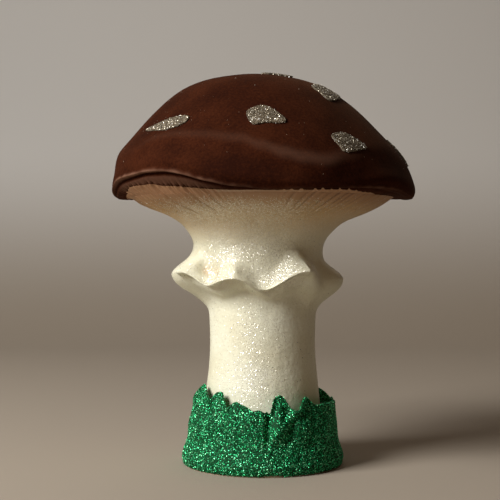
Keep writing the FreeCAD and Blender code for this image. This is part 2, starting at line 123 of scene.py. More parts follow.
# reach out to the rim, rise, share of the rim's wave
UNDERSIDE_SHARES = ((0.0, 0.0, 0.0), (0.50, 0.002, 0.55), (0.86, 0.020, 0.96))
DOME_SHARES = (
    # radius, rise, shares of the rim's wave, of the lean and of the scoop
    (1.000, 0.085, 1.00, 0.00, 0.10), (0.990, 0.165, 0.75, 0.00, 0.70),
    (0.962, 0.270, 0.45, 0.25, 1.00), (0.912, 0.365, 0.20, 0.55, 0.60),
    (0.850, 0.450, 0.05, 0.70, 0.15), (0.786, 0.535, 0.00, 0.78, 0.00),
    (0.724, 0.620, 0.00, 0.84, 0.00), (0.660, 0.700, 0.00, 0.90, 0.00),
    (0.582, 0.785, 0.00, 1.00, 0.00), (0.490, 0.867, 0.00, 1.10, 0.00),
    (0.384, 0.928, 0.00, 1.15, 0.00), (0.268, 0.968, 0.00, 1.15, 0.00),
    (0.140, 0.992, 0.00, 1.00, 0.00), (0.040, 1.000, 0.00, 1.00, 0.00),
)
COLLAR_SHARES = (
    # turn, height of the skirt's edge, its reach, drop of the underside
    (-90, 0.45, 1.00, 1.00), (-61, 0.85, 0.86, 0.85), (-42, -0.40, 0.27, 0.50),
    (-18, 0.30, 0.56, 0.46), (6, -0.80, 0.12, 0.40), (34, 0.95, 0.90, 0.80),
    (58, -0.10, 0.50, 0.90), (82, 0.06, 0.97, 1.00), (112, -0.70, 0.30, 1.00),
    (140, 0.70, 0.85, 1.00), (165, -0.50, 0.20, 1.00), (190, 0.35, 0.75, 1.00),
    (214, -0.80, 0.25, 1.00), (240, 0.75, 0.92, 1.00), (256, -0.15, 0.50, 1.00),
)
SKIRT_UNDER_SHARES = (
    # drop below the edge, reach
    (1.00, 0.02), (0.82, 0.10), (0.66, 0.25), (0.52, 0.50), (0.38, 0.75), (0.24, 0.91),
    (0.11, 0.985), (0.00, 1.00),
)
SKIRT_UPPER_SHARES = (
    # rise above the edge, reach
    (0.01, 1.00), (0.10, 0.97), (0.26, 0.84), (0.44, 0.58), (0.62, 0.30), (0.82, 0.10),
)
SHANK_SHARES = ((0.30, 0.22), (0.62, 0.00))
FUNNEL_SHARES = (
    # rise, reach, share of the lean
    (0.00, 0.00, 0.70), (0.22, 0.095, 0.45), (0.42, 0.215, 0.20), (0.53, 0.34, 0.00),
    (0.64, 0.52, -0.45), (0.74, 0.68, -0.40), (0.86, 0.87, 0.00), (1.00, 1.00, 0.00),
)
FUNNEL_INSIDE_SHARES = (
    (0.00, 0.00, 0.70), (0.30, 0.10, 0.45), (0.55, 0.32, 0.15), (0.78, 0.66, 0.00),
    (1.00, 1.00, 0.00),
)
THROAT_SHARE = 0.35
print("waves of the rim:", len(RIM_SHARES), "of the skirt:", len(COLLAR_SHARES))

# %% [markdown]
# ## Smooth skins over a net
# A pressing has no flat facets and no sharp change of direction, so its skin is a cubic
# B-spline: a net of points is laid out by the tables, and the skin is drawn smoothly over it.
# Blender's own NURBS surface could do this, but two small matrices of weights do the same sum
# for a whole grid at once, and the grid can be as fine as a detail needs.


# %% Nets and skins
def around(table, turn, column):
    """Eased value of one column of a closed table, whose first column is the turn."""
    turn = table[0][0] + (turn - table[0][0]) % 360
    for here, there in zip(table, table[1:] + (table[0],)):
        end = there[0] if there[0] > here[0] else there[0] + 360
        if here[0] <= turn <= end:
            ease = (1 - math.cos(math.pi * (turn - here[0]) / (end - here[0]))) / 2
            return here[column] + (there[column] - here[column]) * ease
    return table[0][column]


def columns_of(table, turns):
    """Each column of a table after its turns, eased to other turns, as a row."""
    return [np.array([[around(table, turn, column) for turn in turns]])
            for column in range(1, len(table[0]))]


def aside(turns, turn):
    """Degrees that the turns lie to the right of one turn."""
    return (turns - turn + 180) % 360 - 180


def between(low, high, share):
    """Value at a share of the way from low to high."""
    return low + (high - low) * share


def at(turn, radius, height, lean=0.0):
    """Point at a turn from the front, round a centre that leans to the left."""
    angle = math.radians(turn)
    return (radius * math.sin(angle) - lean, -radius * math.cos(angle), height)


def net_of(profile_at, count):
    """Net of points: one row for each place along the profile, one column for each turn."""
    columns = [[at(turn, *place) for place in profile_at(turn)]
               for turn in np.arange(count) * 360 / count]
    return np.array(columns).transpose(1, 0, 2)


def round_weights(turns, count):
    """Cubic weights of the closed direction, for each turn in degrees."""
    apart = (turns[:, None] / 360 * count - np.arange(count)[None] + count / 2) % count - count / 2
    apart = abs(apart)
    near = 2 / 3 - apart ** 2 + apart ** 3 / 2
    far = np.clip(2 - apart, 0, None) ** 3 / 6
    return np.where(apart < 1, near, far)


def upward_weights(ways, count):
    """Cubic weights of the open direction, whose ends meet the first and last rows."""
    spans = count - 3
    knots = np.concatenate([[0] * 3, np.arange(spans + 1), [spans] * 3]).astype(float)
    ways = np.clip(np.asarray(ways, float), 0, spans - 1e-9)
    weights = [((ways >= low) & (ways < high)).astype(float)
               for low, high in zip(knots, knots[1:])]
    for degree in (1, 2, 3):
        raised = []
        for index in range(len(weights) - 1):
            rise = knots[index + degree] - knots[index]
            fall = knots[index + degree + 1] - knots[index + 1]
            left = (ways - knots[index]) / rise * weights[index] if rise else 0
            right = (knots[index + degree + 1] - ways) / fall * weights[index + 1] if fall else 0
            raised.append(left + right)
        weights = raised
    return np.stack(weights, 1)


def skin(net, ways, turns):
    """Grid of points on the skin over a net."""
    across = round_weights(turns, net.shape[1])
    along = upward_weights(ways, net.shape[0])
    return np.einsum("ri,cj,ijk->rck", along, across, net)


def ways_out(rows):
    """Ways out of a grid of points, as unit vectors that point away from the axis."""
    round_step = np.roll(rows, -1, 1) - np.roll(rows, 1, 1)
    up_step = np.gradient(rows, axis=0)
    out = np.cross(round_step, up_step)
    return out / np.maximum(np.linalg.norm(out, axis=2, keepdims=True), 1e-12)


def smooth_step(low, high, value):
    """0 below low, 1 above high, smooth between."""
    way = np.clip((value - low) / (high - low), 0, 1)
    return way * way * (3 - 2 * way)


def bump(value, centre, width):
    """Rounded ridge of height 1."""
    return np.exp(-((value - centre) / width) ** 2)


print("weights of a closed row add up to", float(round_weights(np.array([7.0]), 48).sum()))

# %% [markdown]
# A pressing is one closed body with a wall, so its mesh is a stack of rings: up the outside,
# over the mouth and back down the inside. Rings that end in a point are closed by a centre.
# Whatever varies over a piece, such as where it is painted, is kept as a number at each corner.


# %% Meshes from rings
def linked(name, data):
    """New object in the scene."""
    thing = bpy.data.objects.new(name, data)
    bpy.context.scene.collection.objects.link(thing)
    return thing


def ring_mesh(name, rings, poles, marks=None, inner_from=None):
    """Closed mesh over rings of points: a loop of rings, or a stack with a pole at each end.

    A mark holds a number for each corner of the first rings, and the other rings get 0.
    """
    count_rings, count = rings.shape[:2]
    points = rings.reshape(-1, 3).tolist()
    here = np.arange(count)
    there = (here + 1) % count
    faces, rows = [], []
    for row in range(count_rings - 1 if poles else count_rings):
        low, high = row * count, (row + 1) % count_rings * count
        faces += np.stack([low + here, low + there, high + there, high + here], 1).tolist()
        rows += [row] * count
    if poles:
        first, last = len(points), len(points) + 1
        points += [rings[0].mean(0).tolist(), rings[-1].mean(0).tolist()]
        top = (count_rings - 1) * count
        faces += np.stack([there, here, np.full(count, first)], 1).tolist()
        faces += np.stack([top + here, top + there, np.full(count, last)], 1).tolist()
        rows += [0] * count + [count_rings - 1] * count
    mesh = bpy.data.meshes.new(name)
    mesh.from_pydata(points, [], faces)
    mesh.calc_loop_triangles()
    corners = np.array(points)[np.array([list(part.vertices) for part in mesh.loop_triangles])]
    volume = (corners[:, 0] * np.cross(corners[:, 1], corners[:, 2])).sum() / 6
    if volume < 0:
        mesh.flip_normals()
    mesh.polygons.foreach_set("use_smooth", [True] * len(faces))
    if inner_from is not None:
        mesh.polygons.foreach_set("material_index", [int(row >= inner_from) for row in rows])
    for mark, values in (marks or {}).items():
        spread = np.zeros(len(points), np.float32)
        spread[:values.size] = values.reshape(-1)
        mesh.attributes.new(mark, "FLOAT", "POINT").data.foreach_set("value", spread)
    print(f"{name}: {len(faces)} faces, {abs(volume) * 1e6:.1f} cm3")
    return linked(name, mesh)


def ring_at(turns, radius, height):
    """Points round the axis, for one ring or for a stack of rings."""
    angles = np.radians(turns) + 0 * radius
    return np.stack([radius * np.sin(angles), -radius * np.cos(angles), height + 0 * angles], -1)


# %% [markdown]
# ## Gills
# The gills are strokes pressed into the pulp round the mouth. They run from the flocked rim
# down over the funnel, close together, and no two are alike: on the left they are thin raised
# lines, on the right they are cut in and lean towards the front, and at the front they fade.
# Each gill could be a rib of its own, but a stroke in soft pulp has no edge where it begins, so
# one function gives the relief at any turn and depth, and both pressings use it. That way the
# strokes run on from the cap to the stem across the joint.

# %% Relief of the gills
GILL_COUNT = 96
GILL_RELIEF = 0.0012
GILL_LEAN_DEPTHS = (-0.004, 0.030)
STROKE_WIDTH = 0.16
GILL_SHARES = (
    # turn, height of ridges, depth of grooves, length, lean in degrees for each metre
    (-100, 0.70, 0.30, 0.022, 100), (-66, 1.00, 0.25, 0.034, 200), (-40, 1.00, 0.30, 0.032, 250),
    (-18, 0.60, 0.25, 0.020, 200), (2, 0.15, 0.25, 0.009, -100), (14, 0.05, 0.65, 0.018, -300),
    (34, 0.05, 1.00, 0.027, -350), (60, 0.20, 0.90, 0.030, -300), (90, 0.45, 0.60, 0.026, -200),
    (150, 0.50, 0.60, 0.022, -150), (210, 0.60, 0.50, 0.022, -100),
)
gill_dice = random.Random(5)
gill_sizes = np.array([gill_dice.uniform(0.35, 1.0) for _ in range(GILL_COUNT)])
gill_shifts = np.array([gill_dice.uniform(-0.22, 0.22) for _ in range(GILL_COUNT)])


def gill_relief(turns, depth):
    """Relief of the gills in metres. Depth is the way down from the seat, below 0 on the cap."""
    ridge, groove, length, lean = columns_of(GILL_SHARES, turns)
    phase = (turns[None] - lean * np.clip(depth, *GILL_LEAN_DEPTHS)) / 360 * GILL_COUNT
    index = np.floor(phase).astype(int) % GILL_COUNT
    place = phase - np.floor(phase) - 0.5 - gill_shifts[index]
    stroke = bump(place, 0, STROKE_WIDTH) * gill_sizes[index]
    hollow = bump(abs(place), 0.34, 0.12) * gill_sizes[index]
    fade = 1 - smooth_step(length * 0.25, length * (0.5 + 0.5 * gill_sizes[index]), depth)
    return GILL_RELIEF * fade * (ridge * (stroke - 0.5 * hollow) - groove * stroke)


print("gills:", GILL_COUNT, "one every", round(math.tau * SEAT_RADIUS * 1e3 / GILL_COUNT, 1), "mm")

# %% [markdown]
# ## The cap
# The cap is one hollow pressing with a rolled rim. Its net has a column every 7.5 degrees. The
# fine detail is added along the way out of the skin: a rolled lip, a groove inside it, the
# gills under the rim and the slight unevenness of pressed pulp. Where the skin meets the stem
# the relief only goes level, so that the joint stays shut all the way round.


# %% Cap profile
def cap_profile(turn):
    """Outside of the cap at one turn, from the seat round the rim up to the crown."""
    wave = RIM_WAVE * around(RIM_SHARES, turn, 1)
    rim = CAP_RADIUS + RIM_STRAY * around(RIM_SHARES, turn, 2)
    scoop = SCOOP_DEPTH * around(SCOOP_SHARES, turn, 1)
    profile = [(between(SEAT_RADIUS, rim, reach),
                SEAT_HEIGHT + CAP_HEIGHT * rise + wave * lift, 0.0)
               for reach, rise, lift in UNDERSIDE_SHARES]
    profile += [(rim * out - scoop * dent, SEAT_HEIGHT + CAP_HEIGHT * rise + wave * lift,
                 CAP_LEAN * lean) for out, rise, lift, lean, dent in DOME_SHARES]
    return profile


def grown(profile, index, growth):
    """One place of a profile, moved out along the profile's normal."""
    radius, height, lean = profile[index]
    if index == len(profile) - 1:
        return (radius, height + growth, lean)
    run = profile[index + 1][0] - profile[index - 1][0]
    climb = profile[index + 1][1] - profile[index - 1][1]
    length = math.hypot(run, climb)
    return (radius + growth * climb / length, height - growth * run / length, lean)


def cap_inside_profile(turn):
    """Hollow of the cap, from its mouth up to under the crown."""
    profile = cap_profile(turn)
    mouth = RING_RADIUS + 2 * RING_CLEARANCE
    kept = [index for index in range(1, len(profile)) if index != len(UNDERSIDE_SHARES) - 1]
    return [(mouth, SEAT_HEIGHT + CAP_WALL, 0.0)] + [grown(profile, index, -CAP_WALL)
                                                     for index in kept]


CAP_NET_COLUMNS = 48
cap_turns = np.concatenate([np.arange(-100, 100, 0.3), np.arange(100, 260, 0.6)])
cap_net = net_of(cap_profile, CAP_NET_COLUMNS)
cap_ways = np.concatenate([[0, 0.004], np.linspace(0.06, 2.0, 34), np.linspace(2.1, 3.4, 9),
                           np.linspace(3.65, 13.9, 30)])
cap_rows = skin(cap_net, cap_ways, cap_turns)
print("cap grid:", cap_rows.shape)


# %% Detail of the cap
LIP_WIDTH = 0.17
LIP_HEIGHT = 0.0011
GROOVE_WIDTH = 0.13
GROOVE_DEPTH = 0.0013
PULP_UNEVENNESS = 0.00022
PULP_LUMP = 0.016
PIT_DEPTH = 0.0011
SEAT_LEVEL = 0.003
SEAT_HAIR = 0.00015
RIM_LINE_SHARES = (
    # turn, ways of the paint's edge, of the groove and of the lip, strength of groove and lip
    (-90, 0.10, 0.95, 1.45, 0.12), (-76, 0.22, 0.97, 1.50, 0.60), (-60, 0.50, 1.00, 1.47, 1.00),
    (-50, 0.43, 1.03, 1.40, 1.00), (-40, 0.25, 0.90, 1.25, 1.00), (-30, 0.20, 0.83, 1.13, 0.90),
    (-20, 0.18, 0.65, 1.00, 0.70), (-10, 0.18, 0.42, 0.75, 0.55), (0, 0.22, 0.35, 0.65, 0.50),
    (12, 0.40, 0.55, 0.90, 0.55), (30, 0.42, 0.60, 0.95, 0.62), (45, 0.15, 0.50, 0.98, 0.55),
    (60, -0.05, 0.40, 1.00, 0.40), (90, -0.20, 0.40, 1.10, 0.25), (125, 0.20, 0.70, 1.20, 0.60),
    (160, 0.00, 0.40, 1.00, 0.30), (196, 0.35, 0.90, 1.30, 0.80), (232, 0.10, 0.60, 1.10, 0.40),
)
FOLD_SHARES = (
    # turn, way of the fold, strength
    (-53, 4.2, 0.3), (-45, 5.4, 0.5), (-35, 5.65, 0.6), (-23, 5.55, 0.6), (-7, 5.2, 0.7),
    (0, 4.6, 0.8), (8, 4.05, 1.0), (15, 3.7, 1.0), (23, 3.5, 1.0), (34, 3.95, 0.8),
    (50, 4.85, 0.5), (61, 4.95, 0.4), (90, 4.6, 0.3), (150, 5.0, 0.6), (200, 4.4, 0.3),
    (250, 5.2, 0.5),
)
FOLD_RISE = 0.0008
FOLD_WIDTH = 0.68
FOLD_DIP = 0.0012
FOLD_DIP_BELOW = 1.7
FOLD_DIP_WIDTH = 0.9


def unevenness(rows, lump, seed):
    """Soft noise at each corner of a grid."""
    shift = Vector((seed * 3.7, seed * 1.3, seed * 2.9))
    flat = rows.reshape(-1, 3) / lump
    values = [noise(Vector(place) + shift) for place in flat]
    return np.array(values).reshape(rows.shape[:2])


def relieved(rows, relief, level_share):
    """Rows moved by a relief along the way out, or level where the share says so."""
    out = ways_out(rows)
    level = rows * (1, 1, 0)
    level /= np.linalg.norm(level, axis=2, keepdims=True)
    way = out * (1 - level_share[..., None]) + level * level_share[..., None]
    way /= np.linalg.norm(way, axis=2, keepdims=True)
    return rows + way * relief[..., None]


def path_length(rows):
    """Way along each column from its first row."""
    steps = np.linalg.norm(np.diff(rows, axis=0), axis=2)
    return np.concatenate([np.zeros((1, rows.shape[1])), np.cumsum(steps, 0)])


cap_out = path_length(cap_rows)
way_grid = cap_ways[:, None] + 0 * cap_turns[None]
edge_way, groove_way, lip_way, lip_strength = columns_of(RIM_LINE_SHARES, cap_turns)
under_rim = 1 - smooth_step(groove_way - 0.15, groove_way + 0.12, way_grid)
above_paint = smooth_step(edge_way - 0.02, edge_way + 0.22, way_grid)
gills = gill_relief(cap_turns, -cap_out) * under_rim * (1 - 0.85 * above_paint)
fold_way, fold_strength = columns_of(FOLD_SHARES, cap_turns)
lip_crest = bump(way_grid, lip_way, LIP_WIDTH) * lip_strength
groove = bump(way_grid, groove_way, GROOVE_WIDTH) * lip_strength
fold_crest = bump(way_grid, fold_way, FOLD_WIDTH) * fold_strength
fold_foot = bump(way_grid, fold_way - FOLD_DIP_BELOW, FOLD_DIP_WIDTH) * fold_strength
notch = gills / GILL_RELIEF
pits = np.clip(-2.2 * notch - 0.25, 0, 1) * bump(way_grid, edge_way + 0.02, 0.12) * lip_strength
pulp = PULP_UNEVENNESS * unevenness(cap_rows, PULP_LUMP, 1) * smooth_step(2.2, 4.0, way_grid)
seat_share = 1 - smooth_step(0.0, SEAT_LEVEL, cap_out)
cap_relief = (gills + LIP_HEIGHT * lip_crest - GROOVE_DEPTH * groove - PIT_DEPTH * pits
              + FOLD_RISE * fold_crest - FOLD_DIP * fold_foot + pulp)
cap_outer = relieved(cap_rows, cap_relief, seat_share)
cap_outer[0, :, 2] = SEAT_HEIGHT
print("lip", LIP_HEIGHT * 1000, "mm high, groove", GROOVE_DEPTH * 1000, "mm deep")

# %% [markdown]
# The flock stops at the paint's edge. Its bloom is painted light: a painted highlight and sheen,
# paler flock on the lip, on the band under it at the front left and along the crest of the folds,
# and painted shade, darker flock in the groove under the lip, in the pits and below the folds.

# %% Marks of the cap
painted = 1 - smooth_step(-0.035, 0.035, way_grid - edge_way - 0.10 * notch)
# Painted sheen on the band of flock under the lip, at the front left.
band = smooth_step(-0.05, 0.1, way_grid - edge_way)
band *= 1 - smooth_step(-0.1, 0.2, way_grid - lip_way)
front_left = smooth_step(-0.1, 0.7, columns_of(RIM_SHARES, cap_turns)[0])
# Painted highlight on the lip, patchy along it, and on the crests of the folds; painted shade in
# the groove under the lip, in the pits and at the foot of the folds.
patchy_highlight = np.clip(0.75 + 0.9 * unevenness(cap_rows, 0.0035, 5), 0.3, 1.3)
lip_glow = bump(way_grid, lip_way + 0.04, 2.2 * LIP_WIDTH) * lip_strength
bloom = (0.36 * lip_crest + 0.24 * lip_glow) * patchy_highlight + 0.42 * fold_crest
bloom += 0.52 * band * front_left * (1 - groove)
bloom = np.clip(bloom * (1 - 0.8 * pits) - 0.5 * groove - 0.20 * fold_foot, -1, 1)
print("share of the cap that blooms:", round(float((bloom > 0.2).mean()), 2))

# %% Cap mesh
inside_ways = np.concatenate([np.linspace(0, 3, 6), np.linspace(3.6, 11.9, 12)])
cap_inner = skin(net_of(cap_inside_profile, CAP_NET_COLUMNS), inside_ways, cap_turns)
mouth_radius = RING_RADIUS + RING_CLEARANCE
seat_ring = cap_outer[0]
seat_hair = 1 - SEAT_HAIR / SEAT_RADIUS
cap_joints = np.stack([
    seat_ring * (seat_hair, seat_hair, 1),
    seat_ring * (0.5, 0.5, 1) + ring_at(cap_turns, mouth_radius, 0.0) * 0.5,
    ring_at(cap_turns, mouth_radius, SEAT_HEIGHT),
    ring_at(cap_turns, mouth_radius, SEAT_HEIGHT + CAP_WALL),
])
cap_rings = np.concatenate([cap_outer[::-1], cap_joints, cap_inner])
cap = ring_mesh("cap", cap_rings, True, {
    "painted": np.concatenate([painted[::-1], np.ones(cap_joints.shape[:2])]),
    "bloom": bloom[::-1],
    "lint": smooth_step(2.0, 3.0, way_grid)[::-1],
}, len(cap_outer) + 2)

# %% [markdown]
# ## The stem
# The stem is the second hollow pressing: a straight shank that widens at the foot, a skirt
# whose edge rises and falls in pointed lobes, a narrow neck, and a funnel that opens under the
# cap. The skirt's corners are sharper than a table of even waves can say, so the net of the
# fine skin has a column every 2.5 degrees.


# %% Stem profile
def stem_profile(turn):
    """Outside of the stem at one turn, from the disc up to the seat."""
    edge_height = COLLAR_HEIGHT + COLLAR_WAVE * around(COLLAR_SHARES, turn, 1)
    edge_radius = between(NECK_RADIUS, COLLAR_RADIUS, around(COLLAR_SHARES, turn, 2))
    skirt_foot = COLLAR_HEIGHT - COLLAR_DROP
    underside = COLLAR_DROP * around(COLLAR_SHARES, turn, 3)
    profile = [
        (STEM_FOOT_RADIUS, DISC_TOP, 0.0),
        (between(STEM_FOOT_RADIUS, SHANK_FOOT_RADIUS, 0.5),
         between(DISC_TOP, SHANK_FOOT_HEIGHT, 0.5), 0.0),
        (SHANK_FOOT_RADIUS, SHANK_FOOT_HEIGHT, 0.0),
    ]
    profile += [(between(SHANK_RADIUS, SHANK_FOOT_RADIUS, step),
                 between(SHANK_FOOT_HEIGHT, skirt_foot, rise), 0.0) for rise, step in SHANK_SHARES]
    profile += [(between(SHANK_RADIUS, edge_radius, reach), edge_height - underside * drop,
                 NECK_LEAN * (1 - drop)) for drop, reach in SKIRT_UNDER_SHARES]
    profile += [(between(NECK_RADIUS, edge_radius, reach), edge_height + COLLAR_RISE * rise,
                 NECK_LEAN) for rise, reach in SKIRT_UPPER_SHARES]
    profile += [(between(NECK_RADIUS, SEAT_RADIUS, reach),
                 between(NECK_HEIGHT, SEAT_HEIGHT, rise), NECK_LEAN * lean)
                for rise, reach, lean in FUNNEL_SHARES]
    return profile


def stem_inside_profile(_turn):
    """Hollow of the stem, from the disc up to the ledge of the card hoop."""
    ledge_radius = RING_RADIUS - RING_WALL
    neck_inside = NECK_RADIUS - STEM_WALL
    shank_inside = SHANK_RADIUS - STEM_WALL
    profile = [
        (STEM_FOOT_RADIUS - STEM_WALL, DISC_TOP, 0.0),
        (SHANK_FOOT_RADIUS - STEM_WALL, SHANK_FOOT_HEIGHT, 0.0),
        (shank_inside, between(SHANK_FOOT_HEIGHT, COLLAR_HEIGHT, 0.5), 0.0),
        (between(shank_inside, neck_inside, THROAT_SHARE), COLLAR_HEIGHT, NECK_LEAN / 2),
    ]
    profile += [(between(neck_inside, ledge_radius, reach), between(NECK_HEIGHT, RING_FOOT, rise),
                 NECK_LEAN * lean) for rise, reach, lean in FUNNEL_INSIDE_SHARES]
    return profile


STEM_NET_COLUMNS = 144
stem_turns = np.concatenate([np.arange(-75, 75, 0.33), np.arange(75, 285, 0.84)])
stem_ways = np.concatenate([np.linspace(0, 4, 8), np.linspace(4.4, 9, 12),
                            np.linspace(9.12, 13.6, 30), np.linspace(13.8, 23.85, 50),
                            [23.995, 24]])
stem_rows = skin(net_of(stem_profile, STEM_NET_COLUMNS), stem_ways, stem_turns)
print("stem grid:", stem_rows.shape)

# %% Detail of the stem
SKIRT_EDGE_WAY = 11.5
SKIRT_CREASES = (
    # turn, height in metres, width in degrees
    (-61, 0.0028, 4.0), (34, 0.0024, 4.0), (-17, 0.0006, 5.0), (84, 0.0008, 6.0),
    (140, 0.0013, 5.0), (190, 0.0011, 5.0), (240, 0.0014, 5.0),
)
SKIRT_RIDGES = (
    # turn, width in degrees, height of the ridge, depth of the hollow under it
    (-38, 24, 0.0016, 0.0024), (22, 16, 0.0010, 0.0024), (126, 20, 0.0010, 0.0014),
    (202, 30, 0.0010, 0.0014),
)
SKIRT_CUTS = (
    # turn, width in degrees, ways below the edge, height in ways, depth
    (-55, 5, 1.7, 1.5, 0.0026), (-24, 11, 3.0, 1.7, 0.0014), (30, 8, 3.0, 2.0, 0.0010),
    (-43, 9, -3.8, 1.5, 0.0024), (-5, 10, -2.8, 1.7, 0.0013),
)
stem_down = path_length(stem_rows[::-1])[::-1]
stem_gills = gill_relief(stem_turns, stem_down)
stem_pulp = PULP_UNEVENNESS * unevenness(stem_rows, PULP_LUMP * 0.6, 2)
stem_pulp *= smooth_step(0.0, 0.01, stem_down)
stem_share = 1 - smooth_step(0.0, SEAT_LEVEL, stem_down)
skirt_band = bump(stem_ways, SKIRT_EDGE_WAY, 2.4)[:, None]
creases = sum(height * np.exp(-abs(aside(stem_turns, turn)) / width)
              for turn, height, width in SKIRT_CREASES)[None] * skirt_band


def along_skirt(turn, width):
    """1 along one stretch of the skirt, 0 away from it."""
    return np.exp(-(aside(stem_turns, turn) / width) ** 4)[None]


ridge = sum(height * along_skirt(turn, width) for turn, width, height, _depth in SKIRT_RIDGES)
ridge = ridge * bump(stem_ways, SKIRT_EDGE_WAY - 0.25, 0.95)[:, None]
under = sum(depth * along_skirt(turn, width) for turn, width, _height, depth in SKIRT_RIDGES)
under = under * bump(stem_ways, SKIRT_EDGE_WAY - 2.6, 1.3)[:, None]
for turn, width, down, tall, depth in SKIRT_CUTS:
    under = under + depth * along_skirt(turn, width) * bump(
        stem_ways, SKIRT_EDGE_WAY - down, tall)[:, None]
stem_outer = relieved(stem_rows, stem_gills + stem_pulp + creases + ridge - under, stem_share)
stem_outer[0, :, 2] = DISC_TOP
stem_outer[-1, :, 2] = SEAT_HEIGHT


def hollowness(rows, out, up_reach, round_reach):
    """How far each corner lies below the middle of its neighbours, in metres."""
    up = np.concatenate([rows[up_reach:], np.repeat(rows[-1:], up_reach, 0)])
    down = np.concatenate([np.repeat(rows[:1], up_reach, 0), rows[:-up_reach]])
    middle = (np.roll(rows, round_reach, 1) + np.roll(rows, -round_reach, 1) + up + down) / 4
    return ((middle - rows) * out).sum(2)


stem_way_out = ways_out(stem_rows)
# How deep the skin lies in the hollows round the skirt; the paint turns this into painted shade.
wide_hollow = np.where(abs(stem_turns) < 75, hollowness(stem_outer, stem_way_out, 5, 14),
                       hollowness(stem_outer, stem_way_out, 5, 6))
wide_hollow *= (smooth_step(SKIRT_EDGE_WAY - 0.6, SKIRT_EDGE_WAY + 0.6, stem_ways)
                * (1 - smooth_step(16.0, 18.0, stem_ways)))[:, None]
# Depth of the gills' strokes; the paint turns it into painted shade in the grooves and a painted
# highlight on the ridges.
strokes = np.clip(-stem_gills / GILL_RELIEF, -1, 1)
print("deepest stroke", round(float(-stem_gills.min()) * 1000, 2), "mm")

# %% Where the mica lies
MICA_PLACES = (
    # turn, height, width in degrees, height of the patch, density
    (-20, 0.110, 22, 0.012, 1.0), (-38, 0.094, 12, 0.006, 1.0), (18, 0.092, 16, 0.008, 0.7),
    (-6, 0.122, 30, 0.007, 0.7), (-12, 0.070, 16, 0.012, 0.40), (-8, 0.045, 18, 0.012, 0.7),
    (-40, 0.120, 16, 0.006, 0.5), (150, 0.100, 40, 0.012, 0.4), (230, 0.060, 30, 0.02, 0.3),
    (20, 0.108, 26, 0.008, 0.6), (-44, 0.116, 14, 0.010, 0.5), (-25, 0.124, 40, 0.006, 0.6),
)
patches = unevenness(stem_rows, 0.014, 7)
mica_share = 0.06 + 0.16 * smooth_step(0.0, 0.5, patches)
for turn, height, width, tall, density in MICA_PLACES:
    patch = bump(stem_outer[..., 2], height, tall)
    mica_share += density * patch * bump(aside(stem_turns, turn), 0, width)
mica_share = np.clip(mica_share, 0, 1) * smooth_step(0.026, 0.030, stem_outer[..., 2])
mica_share *= smooth_step(0.0, 0.012, stem_down)

dirt_share = 0.03 + 0.06 * smooth_step(-0.1, 0.4, patches)
dirt_share += bump(stem_outer[..., 2], 0.0943, 0.0030) * along_skirt(-59, 6)

# %% Stem mesh
stem_inner = skin(net_of(stem_inside_profile, CAP_NET_COLUMNS), np.linspace(0, 6, 14), stem_turns)
socket_radius = RING_RADIUS + RING_GLUE_GAP
stem_joints = np.stack([
    stem_outer[-1] * (seat_hair, seat_hair, 1),
    ring_at(stem_turns, socket_radius, SEAT_HEIGHT),
    ring_at(stem_turns, socket_radius, RING_FOOT),
])
stem_rings = np.concatenate([stem_outer, stem_joints, stem_inner[::-1]])
stem = ring_mesh("stem", stem_rings, False, {
    "stroke": strokes, "hollow": wide_hollow * 1000, "mica": mica_share, "dirt": dirt_share,
}, len(stem_outer))

# %% [markdown]
# ## Shader maths as plain sums
# A material is a web of nodes. Written out node by node it is hard to read, so one small class
# wraps a socket and adds a Math node for each sign, and one method makes every other node.


# %% Sockets and finishes
class Socket:
    """A node's output that can be added, taken away and multiplied."""

    def __init__(self, maker, link):
        self.maker = maker
        self.link = link

    def maths(self, operation, *values):
        return self.maker.node("ShaderNodeMath", dict(enumerate(values)), operation=operation)

    def __add__(self, other):
        return self.maths("ADD", self, other)

    def __sub__(self, other):
        return self.maths("SUBTRACT", self, other)

    def __rsub__(self, other):
        return self.maths("SUBTRACT", other, self)

    def __mul__(self, other):
        return self.maths("MULTIPLY", self, other)

    __radd__ = __add__
    __rmul__ = __mul__

    def step(self, low, high):
        """0 below low, 1 above high, smooth between."""
        return self.maker.node("ShaderNodeMapRange", {"Value": self, "From Min": low,
                                                      "From Max": high},
                               interpolation_type="SMOOTHSTEP")


class Maker:
    """Adds nodes to a tree."""

    def __init__(self, tree):
        self.tree = tree

    def node(self, kind, inputs=None, out=0, stops=None, **settings):
        """Adds a node: its settings first, then the values or links of its sockets."""
        node = self.tree.nodes.new(kind)
        for key, value in settings.items():
            setattr(node, key, value)
        if stops:
            elements = node.color_ramp.elements
            while len(elements) < len(stops):
                elements.new(0.5)
            for element, (place, colour) in zip(elements, stops):
                element.position = place
                element.color = (*colour, 1)
        for key, value in (inputs or {}).items():
            socket = node.inputs[key] if isinstance(key, int) else next(
                one for one in node.inputs if one.name == key and one.enabled)
            if isinstance(value, Socket):
                self.tree.links.new(value.link, socket)
            elif isinstance(value, tuple) and len(value) == 3 and socket.type == "RGBA":
                socket.default_value = (*value, 1)
            else:
                socket.default_value = value
        outputs = [one for one in node.outputs if one.enabled]
        return Socket(self, outputs[out] if outputs else None)


